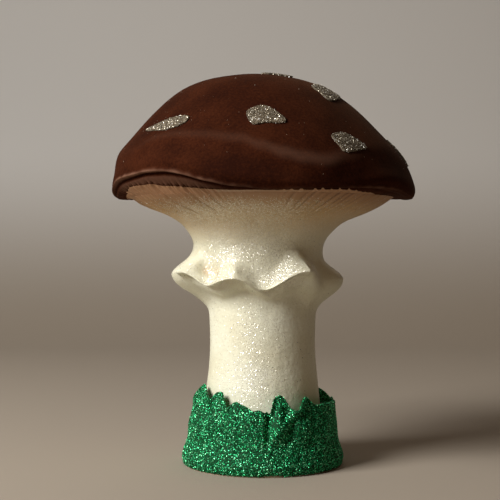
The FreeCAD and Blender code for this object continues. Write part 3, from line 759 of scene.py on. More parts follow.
class Finish(Maker):
    """A material that is being put together."""

    def __init__(self, name):
        self.material = bpy.data.materials.new(name)
        self.material.use_nodes = True
        super().__init__(self.material.node_tree)
        self.tree.nodes.clear()

    def place(self):
        return self.node("ShaderNodeTexCoord", out=3)

    def mark(self, name):
        return self.node("ShaderNodeAttribute", out=2, attribute_name=name)

    def grain(self, size, detail=2.0, where=None, **inputs):
        """Noise whose lumps are about the given size in metres."""
        values = {"Vector": where or self.place(), "Scale": 1 / size, "Detail": detail}
        values.update(inputs)
        return self.node("ShaderNodeTexNoise", values)

    def mix(self, share, low, high):
        """Colour between two colours."""
        return self.node("ShaderNodeMix", {"Factor": share, "A": low, "B": high},
                         data_type="RGBA")

    def ramp(self, value, *stops):
        return self.node("ShaderNodeValToRGB", {0: value}, stops=stops)

    def bumps(self, height, depth, strength=1.0, under=None):
        """Normal from a height between 0 and 1 that stands for a depth in metres."""
        inputs = {"Height": height, "Distance": depth, "Strength": strength}
        if under:
            inputs["Normal"] = under
        return self.node("ShaderNodeBump", inputs)

    def surface(self, **inputs):
        """Principled surface, whose sockets are named in small letters."""
        named = {key.replace("_", " ").title().replace("Ior", "IOR"): value
                 for key, value in inputs.items()}
        return self.node("ShaderNodeBsdfPrincipled", named)

    def close(self, surface):
        self.node("ShaderNodeOutputMaterial", {"Surface": surface})
        return self.material


def felted(name, grain, tones, roughness, specular, bumps, twist=0.0):
    """Finish of fine lumps. Grain is their size and detail, bumps their depth and strength."""
    finish = Finish(name)
    lumps = finish.grain(*grain, Distortion=twist)
    return finish.close(finish.surface(
        base_color=finish.ramp(lumps, *tones), roughness=roughness, specular_ior_level=specular,
        normal=finish.bumps(lumps, *bumps)))


print("maths nodes are written as sums from here on")

# %% [markdown]
# ## Paint
# The stem was dipped in cream paint. Its colour also holds painted shade: warm tan in the hollows
# round the skirt, warmer and darker up the funnel in the cap's shade, and darker in the grooves of
# the gills, with a painted highlight on the raised gills. Near the rim the gills have a reddish
# brown of their own, deepened by painted shade under the rim. The paint is matt, a little uneven,
# and its specks of dirt are strewn on it further down.


# %% Cream paint
def paint_surface(finish):
    """Cream paint over pressed pulp."""
    place = finish.place()
    height = finish.node("ShaderNodeSeparateXYZ", {0: place}, out=2)
    cloud = finish.grain(0.022, 3.0, place)
    fine = finish.grain(0.0016, 3.0, place)
    colour = finish.ramp(cloud + (fine - 0.5) * 0.25, (0.30, (0.76, 0.72, 0.53)),
                         (0.50, (0.80, 0.78, 0.60)), (0.68, (0.84, 0.83, 0.67)))
    # Painted shade: warm tan in the hollows round the skirt.
    hollow = finish.mark("hollow").step(0.20, 1.1)
    colour = finish.mix(hollow * 0.56, colour, (0.62, 0.37, 0.16))
    # Painted shade of the cap: warmer and darker up the funnel towards the seat.
    painted_cap_shade = height.step(SEAT_HEIGHT - 0.025, SEAT_HEIGHT - 0.006)
    colour = finish.mix(painted_cap_shade * 0.74, colour, (0.55, 0.300, 0.075))
    # The gills' own reddish brown near the rim, deepened by painted shade under the rim.
    near_rim = height.step(SEAT_HEIGHT - 0.011, SEAT_HEIGHT + 0.001)
    colour = finish.mix(near_rim * 0.80, colour, (0.32, 0.142, 0.070))
    # Painted shade in the grooves of the gills, strongest near the rim, and a painted highlight on
    # the raised gills.
    stroke = finish.mark("stroke")
    colour = finish.mix(stroke.step(0.10, 0.80) * (near_rim * 0.30 + 0.55), colour,
                        (0.17, 0.080, 0.034))
    colour = finish.mix((0 - stroke).step(0.25, 0.90) * 0.45, colour, (0.78, 0.62, 0.40))
    dents = finish.bumps(fine, 0.0004, 0.35)
    orange_peel = finish.bumps(finish.grain(0.0045, 2.0, place), 0.0009, 0.35, dents)
    return finish.surface(base_color=colour, roughness=0.42 + cloud * 0.2, normal=orange_peel,
                          coat_weight=0.12, coat_roughness=0.3)


paint = Finish("cream paint")
cream_paint = paint.close(paint_surface(paint))

raw_pulp = felted("raw pulp", (0.0011, 5.0), (
    (0.3, (0.30, 0.26, 0.20)), (0.7, (0.46, 0.41, 0.33))), 0.95, 0.5, (0.0006, 0.6), 1.2)
for material in (cream_paint, raw_pulp):
    stem.data.materials.append(material)

# %% [markdown]
# ## Flock
# Flock is a coat of very short fibres that stand up from a layer of glue. It drinks the light
# that falls straight on it and gives a soft bloom along the edges, which is the sheen of the
# shader. The nap is never quite even, so its colour drifts a little from place to place.

# %% Velvet flock
flock = Finish("velvet flock")
flock_place = flock.place()
nap = flock.grain(0.019, 3.0, flock_place)
fibre = flock.grain(0.00035, 2.0, flock_place)
tuft = flock.grain(0.0011, 4.0, flock_place)
flock_colour = flock.ramp(nap + (fibre - 0.5) * 0.5 + (tuft - 0.5) * 0.9,
                          (0.26, (0.020, 0.0038, 0.0011)), (0.50, (0.033, 0.0070, 0.0019)),
                          (0.76, (0.051, 0.0120, 0.0036)))
# The bloom mark paints the flock: a painted highlight and sheen, pale mauve-brown, where it is
# above 0, and painted shade, near black, where it is below 0.
raised = flock.mark("bloom")
flock_colour = flock.mix(raised.step(0.05, 1.0), flock_colour, (0.165, 0.082, 0.052))
flock_colour = flock.mix((0 - raised).step(0.0, 0.8), flock_colour, (0.010, 0.0025, 0.0014))
flock_surface = flock.surface(
    base_color=flock_colour, roughness=0.9, sheen_weight=0.065, sheen_roughness=0.34,
    sheen_tint=(0.72, 0.34, 0.15), specular_ior_level=0.06,
    normal=flock.bumps(fibre, 0.00025, 0.5))
painted_under = paint_surface(flock)
velvet = flock.close(flock.node("ShaderNodeMixShader", {
    0: flock.mark("painted").step(0.35, 0.65), 1: flock_surface, 2: painted_under}))
for material in (velvet, raw_pulp):
    cap.data.materials.append(material)

# %% [markdown]
# ## The ring of grass
# The grass is one moulded ring with a jagged edge, not a bunch of blades. Its edge is drawn by a
# table that follows the real one round the front. The same table, read a little further round
# for each step down, also gives the relief below the edge, so every blade runs on as a ridge
# that leans and dies away, and every gap runs on as a furrow. One cleft at the front is deeper.

# %% Grass edge
GRASS_EDGE_SHARES = (
    (-87, 0.28), (-81, 0.50), (-76, 0.82), (-71, 1.00), (-65, 0.93), (-59, 0.78), (-54, 0.52),
    (-50, 0.24), (-48, 0.40), (-46.5, 0.62), (-44.5, 0.76), (-38, 0.78), (-36, 0.62),
    (-34, 0.42), (-31, 0.18), (-29, 0.05), (-28, 0.14), (-26, 0.29), (-23, 0.42), (-20, 0.38),
    (-17, 0.28), (-15, 0.25), (-12, 0.17), (-9, 0.02), (-7, 0.03), (-4, 0.07), (-1, 0.03),
    (1, -0.09), (3, 0.02), (4, -0.10), (5, -0.22), (6, 0.00), (7, 0.25), (8, 0.50), (9.5, 0.63),
    (12, 0.68), (14.5, 0.74), (17, 0.64), (19, 0.46), (20.5, 0.27), (22, 0.11), (24, 0.02),
    (26, 0.03), (28, 0.05), (30, 0.25), (32, 0.44), (35, 0.56), (38, 0.60), (41, 0.50),
    (43, 0.27), (46, 0.17), (52, 0.14), (58, 0.18), (65, 0.13), (72, 0.14), (78, 0.04),
    (85, 0.10), (92, 0.22), (97, 0.15), (102, 0.02), (106, 0.06), (110, 0.32), (116, 0.45),
    (121, 0.46), (125, 0.28), (129, 0.00), (133, -0.08), (137, 0.12), (141, 0.40), (146, 0.46),
    (150, 0.38), (155, 0.08), (159, 0.02), (163, 0.35), (167, 0.74), (171, 0.82), (175, 0.60),
    (180, 0.10), (184, -0.15), (189, 0.10), (193, 0.48), (198, 0.55), (203, 0.30), (208, 0.06),
    (213, 0.25), (218, 0.66), (223, 0.71), (228, 0.50), (233, 0.12), (237, 0.05), (241, 0.28),
    (246, 0.41), (250, 0.33), (255, 0.04), (259, 0.02), (264, 0.15), (269, 0.20),
)
GRASS_RIDGES = (
    # turn at the top, height there, turn at the bottom, height there, width, relief in metres
    (4.8, 0.0305, 2.2, 0.015, 0.0015, -0.0032), (33.0, 0.0345, 14.0, 0.0225, 0.0022, 0.0016),
    (-60.0, 0.036, -66.0, 0.016, 0.0035, 0.0009), (-38.0, 0.034, -44.0, 0.020, 0.0024, 0.0008),
    (-21.0, 0.032, -27.0, 0.019, 0.0026, 0.0008), (15.0, 0.034, 9.0, 0.018, 0.0022, 0.0012),
    (-29.0, 0.029, -33.0, 0.018, 0.0014, -0.0012), (-49.0, 0.031, -52.0, 0.020, 0.0014, -0.0012),
    (26.0, 0.029, 19.0, 0.016, 0.0020, -0.0014), (60.0, 0.030, 52.0, 0.014, 0.0028, 0.0009),
)
GRASS_COLUMNS = 640
GRASS_EDGE_WALL = 0.0011
DISC_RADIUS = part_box("bottom_disc")[1].x
RIDGE_RELIEF = 0.0019
RIDGE_LEAN = 320.0
GRASS_LUMPS = ((0.0060, 0.00055), (0.0025, 0.00030))
HEM_LIFT = 0.0006
HEM_BELOW_DISC_TOP = 0.0007
HEM_SKIN = 0.0001
LEFT_DENT = 0.0014
grass_turns = np.arange(GRASS_COLUMNS) * 360 / GRASS_COLUMNS


def edge_share(turns):
    """Height of the jagged edge at each turn, as a share of the tallest blade."""
    places, shares = np.array(GRASS_EDGE_SHARES).T
    soft = [np.interp(turns + shift, places, shares, period=360) for shift in (-0.8, 0, 0.8)]
    return sum(soft) / 3


share = edge_share(grass_turns)
bare_disc = np.exp(-((grass_turns - 6) / 7) ** 4)
hem_height = HEM_LIFT + (DISC_TOP - HEM_BELOW_DISC_TOP) * bare_disc
blade_tip = GRASS_HEIGHT + BLADE_LENGTH * share
blade_lean = (BLADE_LEAN + GRASS_EDGE_WALL) * np.clip(share, 0, None)
print("grass stands", round(float(blade_tip.max()) * 1000, 1), "mm at its tallest")

# %% Grass rings
grass_steps = np.linspace(0, 1, 36)[:, None]
grass_height_grid = DISC_TOP + (blade_tip - DISC_TOP)[None] * grass_steps
swell_height = between(DISC_TOP, GRASS_HEIGHT, 0.10)
waist_height = between(DISC_TOP, GRASS_HEIGHT, 0.42)
grass_radius = np.interp(grass_height_grid, [DISC_TOP, swell_height, waist_height, GRASS_HEIGHT],
                         [GRASS_FOOT_RADIUS, GRASS_FOOT_RADIUS + GRASS_SWELL,
                          GRASS_WAIST_RADIUS, GRASS_TOP_RADIUS])
lean_share = smooth_step(0.55, 1.0, grass_steps)
grass_radius = grass_radius - blade_lean[None] * lean_share


def turned_share(rows_height):
    """The edge's own shape, read further round the lower a corner lies."""
    lean = RIDGE_LEAN * np.clip(GRASS_HEIGHT + BLADE_LENGTH - rows_height, 0, None)
    return np.stack([edge_share(grass_turns + row) for row in lean])


below = np.clip(blade_tip[None] - grass_height_grid, 0, None)
ridge_fade = (1 - smooth_step(0.008, 0.030, below)) * smooth_step(0.0, 0.02, grass_height_grid)
grass_relief = RIDGE_RELIEF * (turned_share(grass_height_grid) - 0.35) * ridge_fade
for top_turn, top_height, foot_turn, foot_height, width, relief in GRASS_RIDGES:
    way = np.clip((top_height - grass_height_grid) / (top_height - foot_height), -0.3, 1.3)
    line_turn = top_turn + (foot_turn - top_turn) * way
    off_line = np.radians(aside(grass_turns[None], line_turn)) * GRASS_TOP_RADIUS
    ends = smooth_step(-0.3, 0.1, way) * (1 - smooth_step(0.8, 1.3, way))
    grass_relief += relief * ends * bump(off_line, 0, width)
grass_plain = ring_at(grass_turns, grass_radius, grass_height_grid)
left_side = bump(aside(grass_turns, -95), 0, 50)
grass_relief -= LEFT_DENT * left_side[None] * bump(grass_height_grid, 0.021, 0.011)
for lump, height in GRASS_LUMPS:
    grass_relief += height * unevenness(grass_plain * (1, 1, 0.6), lump, 3)
grass_relief *= smooth_step(0.0, 0.002, grass_height_grid - DISC_TOP)
grass_outer = ring_at(grass_turns, grass_radius + grass_relief, grass_height_grid)
print("relief of the grass up to", round(float(grass_relief.max()) * 1000, 1), "mm")

# %% [markdown]
# Behind the blades the ring is hollowed to a gutter and then closes on the stem's foot, with a
# hair of room between them. Its hem stands on the card disc, which shows at the front.

# %% Grass mesh
GUTTER_HEIGHT = 0.0285
foot_slope = (STEM_FOOT_RADIUS - SHANK_FOOT_RADIUS) / (SHANK_FOOT_HEIGHT - DISC_TOP)


def bore_at(height):
    """Radius just outside the stem's conical foot."""
    return STEM_FOOT_RADIUS + GRASS_GAP - foot_slope * (height - DISC_TOP)


edge_radius = (grass_radius + grass_relief)[-1]
inner_edge = np.maximum(edge_radius - GRASS_EDGE_WALL, bore_at(blade_tip))
gutter_height = np.minimum(blade_tip - 0.001, GUTTER_HEIGHT)
gutter_radius = np.maximum(grass_radius[-6] - GRASS_EDGE_WALL - 0.001, bore_at(gutter_height))
hem, behind = ([ring_at(grass_turns, radius, height) for radius, height in places] for places in (
    # radius, height: of the hem from the bore outwards, and behind the blades from the tip inwards
    ((bore_at(DISC_TOP), DISC_TOP), (DISC_RADIUS + HEM_SKIN, DISC_TOP),
     (DISC_RADIUS + 1.5 * HEM_SKIN, hem_height), (GRASS_FOOT_RADIUS - HEM_SKIN, hem_height)),
    ((edge_radius * 0.75 + inner_edge * 0.25, blade_tip + 0.0003),
     (edge_radius * 0.25 + inner_edge * 0.75, blade_tip + 0.0002),
     (inner_edge, blade_tip - 0.0003),
     ((inner_edge + gutter_radius) / 2, (blade_tip + gutter_height) / 2),
     (gutter_radius, gutter_height), (bore_at(gutter_height), gutter_height - 0.0001)),
))
grass_rings = np.concatenate([hem, grass_outer[1:], behind])
glitter_mark = np.zeros(grass_rings.shape[:2])
glitter_mark[3:len(grass_outer) + 8] = 1
grass = ring_mesh("grass", grass_rings, False, {"glitter": glitter_mark})

# %% [markdown]
# ## Pads on the cap
# The pads are cut from thin card, stuck on the flock and rolled in champagne glitter. Each one
# is laid on the cap by dropping its outline straight on the mesh from outside, ring by ring, so
# it bends with the cap. The edge is a little lower than the middle, as card is after cutting.

# %% Pads
PAD_THICKNESS = 0.00085
PAD_SINK = 0.0004
PAD_LENGTH = 0.020
PAD_WIDTH = 0.012
PAD_SIDE_POINTS = 14
PAD_RAG = 0.018
PAD_DROP = 0.02
OUTLINE_SHARES = {
    "leaf": ((-1.00, -0.42), (-0.50, 0.12), (0.30, 0.80), (0.92, 1.00), (0.98, 0.15),
             (0.58, -0.80), (0.07, -1.00)),
    "half_round": ((-1.00, 0.25), (-0.62, 0.78), (-0.10, 1.00), (0.36, 0.60), (1.00, -0.45),
                   (0.78, -0.88), (-0.08, -0.90), (-0.72, -1.00)),
    "slant": ((-0.86, 0.70), (0.33, 1.00), (0.74, 0.58), (1.00, 0.00), (0.70, -0.45),
              (-0.89, -1.00), (-1.00, -0.10)),
    "pebble": ((-1.00, 0.70), (-0.13, 1.00), (0.42, 0.62), (1.00, -0.20), (0.62, -0.62),
               (-0.66, -1.00), (-0.86, -0.35)),
}
PAD_SHARES = (
    # name, turn, shares of cap height, of length and of width, tilt, outline
    ("left", -45.5, 0.530, 1.30, 0.80, 0.0, "leaf"),
    ("centre", 3.8, 0.575, 0.865, 1.02, 0.0, "half_round"),
    ("upper_right", 56.0, 0.808, 0.875, 1.29, 0.0, "slant"),
    ("lower_right", 37.6, 0.372, 0.895, 0.975, 0.0, "pebble"),
    ("right_side", 88.5, 0.372, 0.60, 1.33, 8.0, "half_round"),
    ("crest", 56.0, 0.986, 0.75, 0.92, -56.0, "half_round"),
    ("rear_right", 143.0, 0.500, 0.95, 1.00, -10.0, "pebble"),
    ("rear_middle", 188.0, 0.740, 0.90, 1.04, 14.0, "half_round"),
    ("rear_low", 176.0, 0.330, 1.00, 0.92, 168.0, "leaf"),
    ("rear_left", 232.0, 0.440, 0.90, 1.00, 20.0, "slant"),
    ("upper_left", 246.0, 0.780, 0.85, 0.92, 190.0, "pebble"),
)
cap_tree = BVHTree.FromPolygons([corner.co for corner in cap.data.vertices],
                                [face.vertices for face in cap.data.polygons])


def cap_place(turn, height_share):
    """Place on the flank of the cap, with the way out of it there."""
    profile = cap_profile(turn)
    height = SEAT_HEIGHT + CAP_HEIGHT * height_share
    pairs = list(zip(profile, profile[1:]))[len(UNDERSIDE_SHARES):]
    low, high = next((pair for pair in pairs if pair[0][1] <= height <= pair[1][1]), pairs[-1])
    way = (height - low[1]) / (high[1] - low[1])
    run, climb = high[0] - low[0], high[1] - low[1]
    angle = math.radians(turn)
    outward = Vector((math.sin(angle) * climb, -math.cos(angle) * climb, -run)).normalized()
    place = at(turn, between(low[0], high[0], way), height, between(low[2], high[2], way))
    return Vector(place), outward


def smooth_loop(points, per_side):
    """Closed curve through the points."""
    count = len(points)
    loop = []
    for index in range(count):
        a, b, c, d = (np.array(points[(index + step) % count]) for step in (-1, 0, 1, 2))
        for way in np.arange(per_side) / per_side:
            loop.append(b + 0.5 * way * (c - a + way * (2 * a - 5 * b + 4 * c - d
                                                        + way * (3 * (b - c) + d - a))))
    return loop


def make_pad(name, turn, height_share, length_share, width_share, tilt, outline):
    """One pad, bent over the cap."""
    centre, outward = cap_place(turn, height_share)
    angle = math.radians(turn)
    level = Vector((math.cos(angle), math.sin(angle), 0))
    uphill = outward.cross(level)
    spin = math.radians(tilt)
    along = level * math.cos(spin) + uphill * math.sin(spin)
    across = outward.cross(along)
    half_length = PAD_LENGTH * length_share / 2
    half_width = PAD_WIDTH * width_share / 2
    loop = smooth_loop(OUTLINE_SHARES[outline], PAD_SIDE_POINTS)
    dice = random.Random(name)
    ragged = [1 + dice.uniform(-PAD_RAG, PAD_RAG) for _ in loop]

    def ring(share, rise):
        """The outline at a share of its size, dropped on the cap and raised from it."""
        points = []
        for (x, y), rag in zip(loop, ragged):
            reach = share * (rag if share > 0.9 else 1)
            from_there = (centre + along * (x * half_length * reach)
                          + across * (y * half_width * reach) + outward * PAD_DROP)
            hit, way_out, _face, _distance = cap_tree.ray_cast(from_there, -outward)
            points.append(hit + way_out * rise)
        return points

    rings = [ring(0.5, -PAD_SINK), ring(0.97, -PAD_SINK), ring(1.0, PAD_THICKNESS * 0.45),
             ring(0.985, PAD_THICKNESS * 0.85)]
    rings += [ring(share, PAD_THICKNESS * (1 - 0.25 * share ** 4))
              for share in (0.95, 0.8, 0.6, 0.35, 0.12)]
    rings = np.array([[tuple(point) for point in one] for one in rings])
    glitter = np.zeros(rings.shape[:2])
    glitter[2:] = 1
    return ring_mesh(f"pad_{name}", rings, True, {"glitter": glitter})


pads = [make_pad(*row) for row in PAD_SHARES]

# %% [markdown]
# ## Glitter, mica and dust
# Grains are what Geometry Nodes are for: thousands of small closed shapes, all alike but for
# their size, tilt and tone. One tree strews a shard over a surface where a mark allows it, lies
# it down with a random tilt, stores a random tone for the shader, and ends in plain mesh.


# %% The tree that strews grains
class Pattern(Maker):
    """A Geometry Nodes tree with named inputs."""

    def __init__(self, name, labels):
        super().__init__(bpy.data.node_groups.new(name, "GeometryNodeTree"))
        sockets = self.tree.interface
        sockets.new_socket("Geometry", in_out="INPUT", socket_type="NodeSocketGeometry")
        sockets.new_socket("Geometry", in_out="OUTPUT", socket_type="NodeSocketGeometry")
        for label, kind in labels.items():
            sockets.new_socket(label, in_out="INPUT", socket_type=f"NodeSocket{kind}")
        self.source = self.tree.nodes.new("NodeGroupInput")

    def given(self, label):
        return Socket(self, self.source.outputs[label])

    def close(self, geometry):
        self.node("NodeGroupOutput", {0: geometry})

    def grown(self, name, onto, values):
        """Plain mesh of what the tree makes on a piece."""
        source = linked(f"{name}_source", onto)
        modifier = source.modifiers.new("grains", "NODES")
        modifier.node_group = self.tree
        for item in self.tree.interface.items_tree:
            if item.in_out == "INPUT" and item.name in values:
                modifier[item.identifier] = values[item.name]
        seen = source.evaluated_get(bpy.context.evaluated_depsgraph_get())
        mesh = bpy.data.meshes.new_from_object(seen)
        source.modifiers.remove(modifier)
        bpy.data.objects.remove(source)
        mesh.name = name
        print(f"{name}: {len(mesh.polygons)} faces")
        return linked(name, mesh)


def strewing_tree(name, flat):
    """Tree that strews shards, or flat flakes, over a surface."""
    tree = Pattern(name, {"Apart": "Float", "Density": "Float", "Size": "Float",
                          "Thickness": "Float", "Tilt": "Float", "Lift": "Float",
                          "Mark": "String", "Seed": "Int", "Material": "Material"})
    mark = tree.node("GeometryNodeInputNamedAttribute", {"Name": tree.given("Mark")},
                     data_type="FLOAT")
    strewn = tree.node("GeometryNodeDistributePointsOnFaces", {
        "Mesh": tree.given("Geometry"), "Distance Min": tree.given("Apart"),
        "Density Max": tree.given("Density"), "Density Factor": mark,
        "Seed": tree.given("Seed")}, distribute_method="POISSON")
    lying = Socket(tree, strewn.link.node.outputs["Rotation"])
    if flat:
        shard = tree.node("GeometryNodeMeshCone", {
            "Vertices": 3, "Radius Top": 0.0, "Radius Bottom": 0.6, "Depth": 1.0})
    else:
        shard = tree.node("GeometryNodeMeshUVSphere", {"Segments": 5, "Rings": 2, "Radius": 0.5})

    def dice(low, high, seed):
        return tree.node("FunctionNodeRandomValue", {
            "Min": low, "Max": high, "Seed": tree.given("Seed") + seed}, data_type="FLOAT")

    turned = tree.node("FunctionNodeRotateRotation", {
        "Rotation": lying,
        "Rotate By": tree.node("FunctionNodeEulerToRotation", {
            "Euler": tree.node("ShaderNodeCombineXYZ", {
                "X": dice(-1.0, 1.0, 1) * tree.given("Tilt"),
                "Y": dice(-1.0, 1.0, 2) * tree.given("Tilt"),
                "Z": dice(0.0, 6.28, 3)})})}, rotation_space="LOCAL")
    size = tree.given("Size")
    sizes = tree.node("ShaderNodeCombineXYZ", {
        "X": size * dice(0.65, 1.15, 4), "Y": size * dice(0.45, 1.0, 5),
        "Z": tree.given("Thickness") * dice(0.7, 1.3, 6)})
    grains = tree.node("GeometryNodeInstanceOnPoints", {
        "Points": strewn, "Instance": shard, "Rotation": turned, "Scale": sizes})
    lifted = tree.node("GeometryNodeTranslateInstances", {
        "Instances": grains, "Translation": tree.node("ShaderNodeCombineXYZ", {
            "Z": tree.given("Lift")}), "Local Space": True})
    toned = tree.node("GeometryNodeStoreNamedAttribute", {
        "Geometry": lifted, "Name": "tone", "Value": dice(0.0, 1.0, 7)},
        data_type="FLOAT", domain="INSTANCE")
    real = tree.node("GeometryNodeRealizeInstances", {"Geometry": toned})
    tree.close(tree.node("GeometryNodeSetMaterial", {
        "Geometry": real, "Material": tree.given("Material")}))
    return tree


shards = strewing_tree("strewn shards", False)
flakes = strewing_tree("strewn flakes", True)

# %% [markdown]
# Crushed glass is silvered, then stained. A grain is bright where it mirrors the lamp and dark
# where it mirrors the room, which is what makes glitter look rough and alive, so the shader is
# half metal with a tone of its own for each grain. Under the grains lies stained glue.


# %% Glitter finishes
def glitter_finish(name, tones, metallic, roughness, specular=0.5, coat=0.0):
    """Finish of a grain, whose own random tone picks its colour."""
    finish = Finish(name)
    tone = finish.mark("tone")
    return finish.close(finish.surface(
        base_color=finish.ramp(tone, *tones), metallic=metallic,
        roughness=roughness + tone * 0.10, specular_ior_level=specular,
        coat_weight=coat, coat_roughness=0.14, coat_ior=2.4))


green_glass = glitter_finish("green glass", (
    (0.0, (0.005, 0.135, 0.042)), (0.45, (0.026, 0.43, 0.160)), (0.80, (0.105, 0.76, 0.360)),
    (0.97, (0.32, 0.95, 0.52))), 0.86, 0.32, 0.2)
champagne_glass = glitter_finish("champagne glass", (
    (0.0, (0.085, 0.064, 0.042)), (0.5, (0.30, 0.26, 0.195)), (0.85, (0.58, 0.54, 0.43)),
    (0.96, (1.0, 0.98, 0.92))), 0.65, 0.22)
mica_finish = glitter_finish("mica", (
    (0.0, (0.74, 0.66, 0.48)), (0.5, (0.86, 0.81, 0.66)), (1.0, (1.0, 0.99, 0.94))),
    0.50, 0.28, 1.0, 1.0)
lint_finish = glitter_finish("lint", (
    (0.0, (0.16, 0.09, 0.05)), (0.6, (0.40, 0.30, 0.21)), (0.95, (0.75, 0.66, 0.52))), 0.0, 0.6)
dirt_finish = glitter_finish("dirt", (
    (0.0, (0.012, 0.010, 0.006)), (0.6, (0.022, 0.020, 0.010)),
    (0.95, (0.01, 0.07, 0.03))), 0.0, 0.5)
green_glue = felted("green glue", (0.0009, 2.0), (
    (0.35, (0.001, 0.030, 0.008)), (0.65, (0.004, 0.080, 0.024))), 0.6, 0.15, (0.0006, 0.8))
gilt_card = felted("gilt card", (0.0007, 2.0), (
    (0.35, (0.07, 0.05, 0.03)), (0.65, (0.20, 0.16, 0.11))), 0.6, 0.2, (0.0004, 0.8))
grass.data.materials.append(green_glue)
for pad in pads:
    pad.data.materials.append(gilt_card)

# %% Glitter on the grass and on the pads
MM = 0.001
GRAINS = {
    # least gap, size, thickness and lift in mm, most to a square mm, tilt in radians, seed
    "grass_glitter": (0.45, 0.95, 0.45, 0.05, 2.8, 0.75, 11),
    "pad_glitter": (0.42, 0.80, 0.40, 0.0, 3.2, 0.70, 23),
    "mica": (0.18, 0.60, 0.018, 0.05, 7.6, 0.50, 31),
    "dirt_specks": (0.7, 0.60, 0.16, 0.0, 0.1, 0.2, 47),
    "lint": (1.0, 0.40, 0.25, 0.05, 0.01, 0.8, 53),
}


def strew(tree, name, onto, mark, material):
    """Grains of one kind on a mesh, where its mark allows them."""
    apart, size, thickness, lift, most, tilt, seed = GRAINS[name]
    return tree.grown(name, onto, {
        "Apart": apart * MM, "Size": size * MM, "Thickness": thickness * MM, "Lift": lift * MM,
        "Density": most / MM ** 2, "Tilt": tilt, "Seed": seed, "Mark": mark,
        "Material": material})


def joined(pieces, name):
    """One mesh with the faces and marks of several pieces."""
    mesh = bpy.data.meshes.new(name)
    points, faces, marks = [], [], []
    for piece in pieces:
        shift = len(points)
        points += [tuple(corner.co) for corner in piece.data.vertices]
        faces += [[shift + corner for corner in face.vertices] for face in piece.data.polygons]
        marks += [one.value for one in piece.data.attributes["glitter"].data]
    mesh.from_pydata(points, [], faces)
    mesh.attributes.new("glitter", "FLOAT", "POINT").data.foreach_set("value", marks)
    return mesh


grass_grains = strew(shards, "grass_glitter", grass.data, "glitter", green_glass)
pad_grains = strew(shards, "pad_glitter", joined(pads, "pads together"), "glitter",
                   champagne_glass)

# %% [markdown]
# Mica is flat, so a flake is a very low cone of three sides that lies nearly level in the paint
# and winks only here and there. Flakes are thickest where the brush left them: round the neck,
# on the skirt and low on the stem. Dirt and a little lint on the flock come from the same trees.

# %% Mica, dirt and lint
mica_flakes = strew(flakes, "mica", stem.data, "mica", mica_finish)
dirt_specks = strew(shards, "dirt_specks", stem.data, "dirt", dirt_finish)
lint_specks = strew(shards, "lint", cap.data, "lint", lint_finish)

# %% [markdown]
# The card hoop and the card disc are plain solids and need no new shape, only a finish. Grey
# board is felted fibre.

# %% Card
grey_board = felted("grey board", (0.0009, 4.0), (
    (0.3, (0.30, 0.235, 0.16)), (0.7, (0.46, 0.38, 0.27))), 0.9, 0.2, (0.0003, 0.5), 1.0)
for node in ("neck_ring", "bottom_disc"):
    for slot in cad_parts[node].material_slots:
        slot.material = grey_board

# %% [markdown]
# ## Stage, light and camera
# One large soft light stands low on the left and a little in front, as in the photograph. The
# far side falls into a warm shade that only the pale room fills.

# %% Stage
CAMERA_PLACE = Vector((-0.00625, -0.555, 0.109))
CAMERA_LENS = 79.92
CAMERA_DROP = 0.31
ROOM_LIGHT = 0.034
TARGET = Vector((0, 0, 0.10))
LIGHTS = (
    # name, way there from the object, distance, size, power, colour
    ("key", (-0.70, -0.47, 0.53), 1.1, 0.50, 16.8, (1.0, 0.985, 0.955)),
    ("fill", (0.5, -0.8, 0.5), 1.4, 0.9, 0.20, (1.0, 0.52, 0.24)),
    ("back", (0.30, 0.90, 0.85), 1.3, 0.9, 1.6, (1.0, 0.82, 0.62)),
)


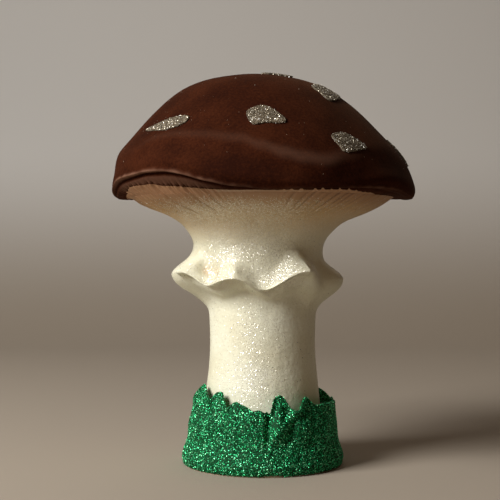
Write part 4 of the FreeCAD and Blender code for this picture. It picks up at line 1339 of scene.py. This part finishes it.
def swept_stage():
    """Pale floor that curves up behind the object."""
    half, back, bend, top = 2.5, 1.1, 0.5, 2.2
    section = [(-2.0, 0.0), (back - bend, 0.0)]
    section += [(back - bend + bend * math.sin(a), bend - bend * math.cos(a))
                for a in np.linspace(0, math.pi / 2, 24)[1:]]
    section.append((back, top))
    points = [(x, y, z) for y, z in section for x in (-half, half)]
    faces = [(2 * i, 2 * i + 1, 2 * i + 3, 2 * i + 2) for i in range(len(section) - 1)]
    mesh = bpy.data.meshes.new("stage")
    mesh.from_pydata(points, [], faces)
    mesh.polygons.foreach_set("use_smooth", [True] * len(faces))
    sheet = linked("stage", mesh)
    return sheet


stage = swept_stage()
paper = Finish("pale paper")
rise = paper.node("ShaderNodeSeparateXYZ", {0: paper.place()}, out=2).step(0.0, 0.25)
stage.data.materials.append(paper.close(paper.surface(
    base_color=paper.mix(rise, (0.36, 0.305, 0.245), (0.72, 0.70, 0.67)), roughness=0.9)))


def soft_light(name, way, distance, size, power, colour):
    """Square soft box that looks at the object."""
    lamp = bpy.data.lights.new(name, "AREA")
    lamp.size = size
    lamp.energy = power
    lamp.color = colour
    way = Vector(way).normalized()
    light = linked(name, lamp)
    light.location = TARGET + way * distance
    light.rotation_euler = (-way).to_track_quat("-Z", "Y").to_euler()


for row in LIGHTS:
    soft_light(*row)
room = bpy.data.worlds.new("room")
room.use_nodes = True
for socket, value in zip(room.node_tree.nodes["Background"].inputs,
                         ((1.0, 0.62, 0.36, 1), ROOM_LIGHT)):
    socket.default_value = value
bpy.context.scene.world = room
bpy.context.scene.view_settings.view_transform = "Standard"

lens = bpy.data.cameras.new("camera")
lens.lens = CAMERA_LENS
lens.sensor_width = 36
camera = linked("camera", lens)
camera.location = CAMERA_PLACE
camera.rotation_euler = Euler((math.radians(90 - CAMERA_DROP), 0, 0))
bpy.context.scene.camera = camera

# %% [markdown]
# ## Hand over
# Each piece rides on its body of the model and stands in for the solid that it replaces, which
# is hidden.

# %% Hand over
handed = [
    (cap, "cap", ("cap_shell",), "velvet_flock"),
    (stem, "base", ("stem_shell",), "painted_pulp"),
    (grass, "base", ("grass_collar",), "green_glitter"),
    (grass_grains, "base", (), "green_glitter"),
    (pad_grains, "cap", (), "champagne_glitter"),
    (mica_flakes, "base", (), "painted_pulp"),
    (dirt_specks, "base", (), "painted_pulp"),
    (lint_specks, "cap", (), "velvet_flock"),
]
handed += [(pad, "cap", (f"spot_{row[0]}",), "champagne_glitter")
           for pad, row in zip(pads, PAD_SHARES)]
for piece, body, nodes, finish_slot in handed:
    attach(piece, body)
    if nodes:
        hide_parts(*nodes)
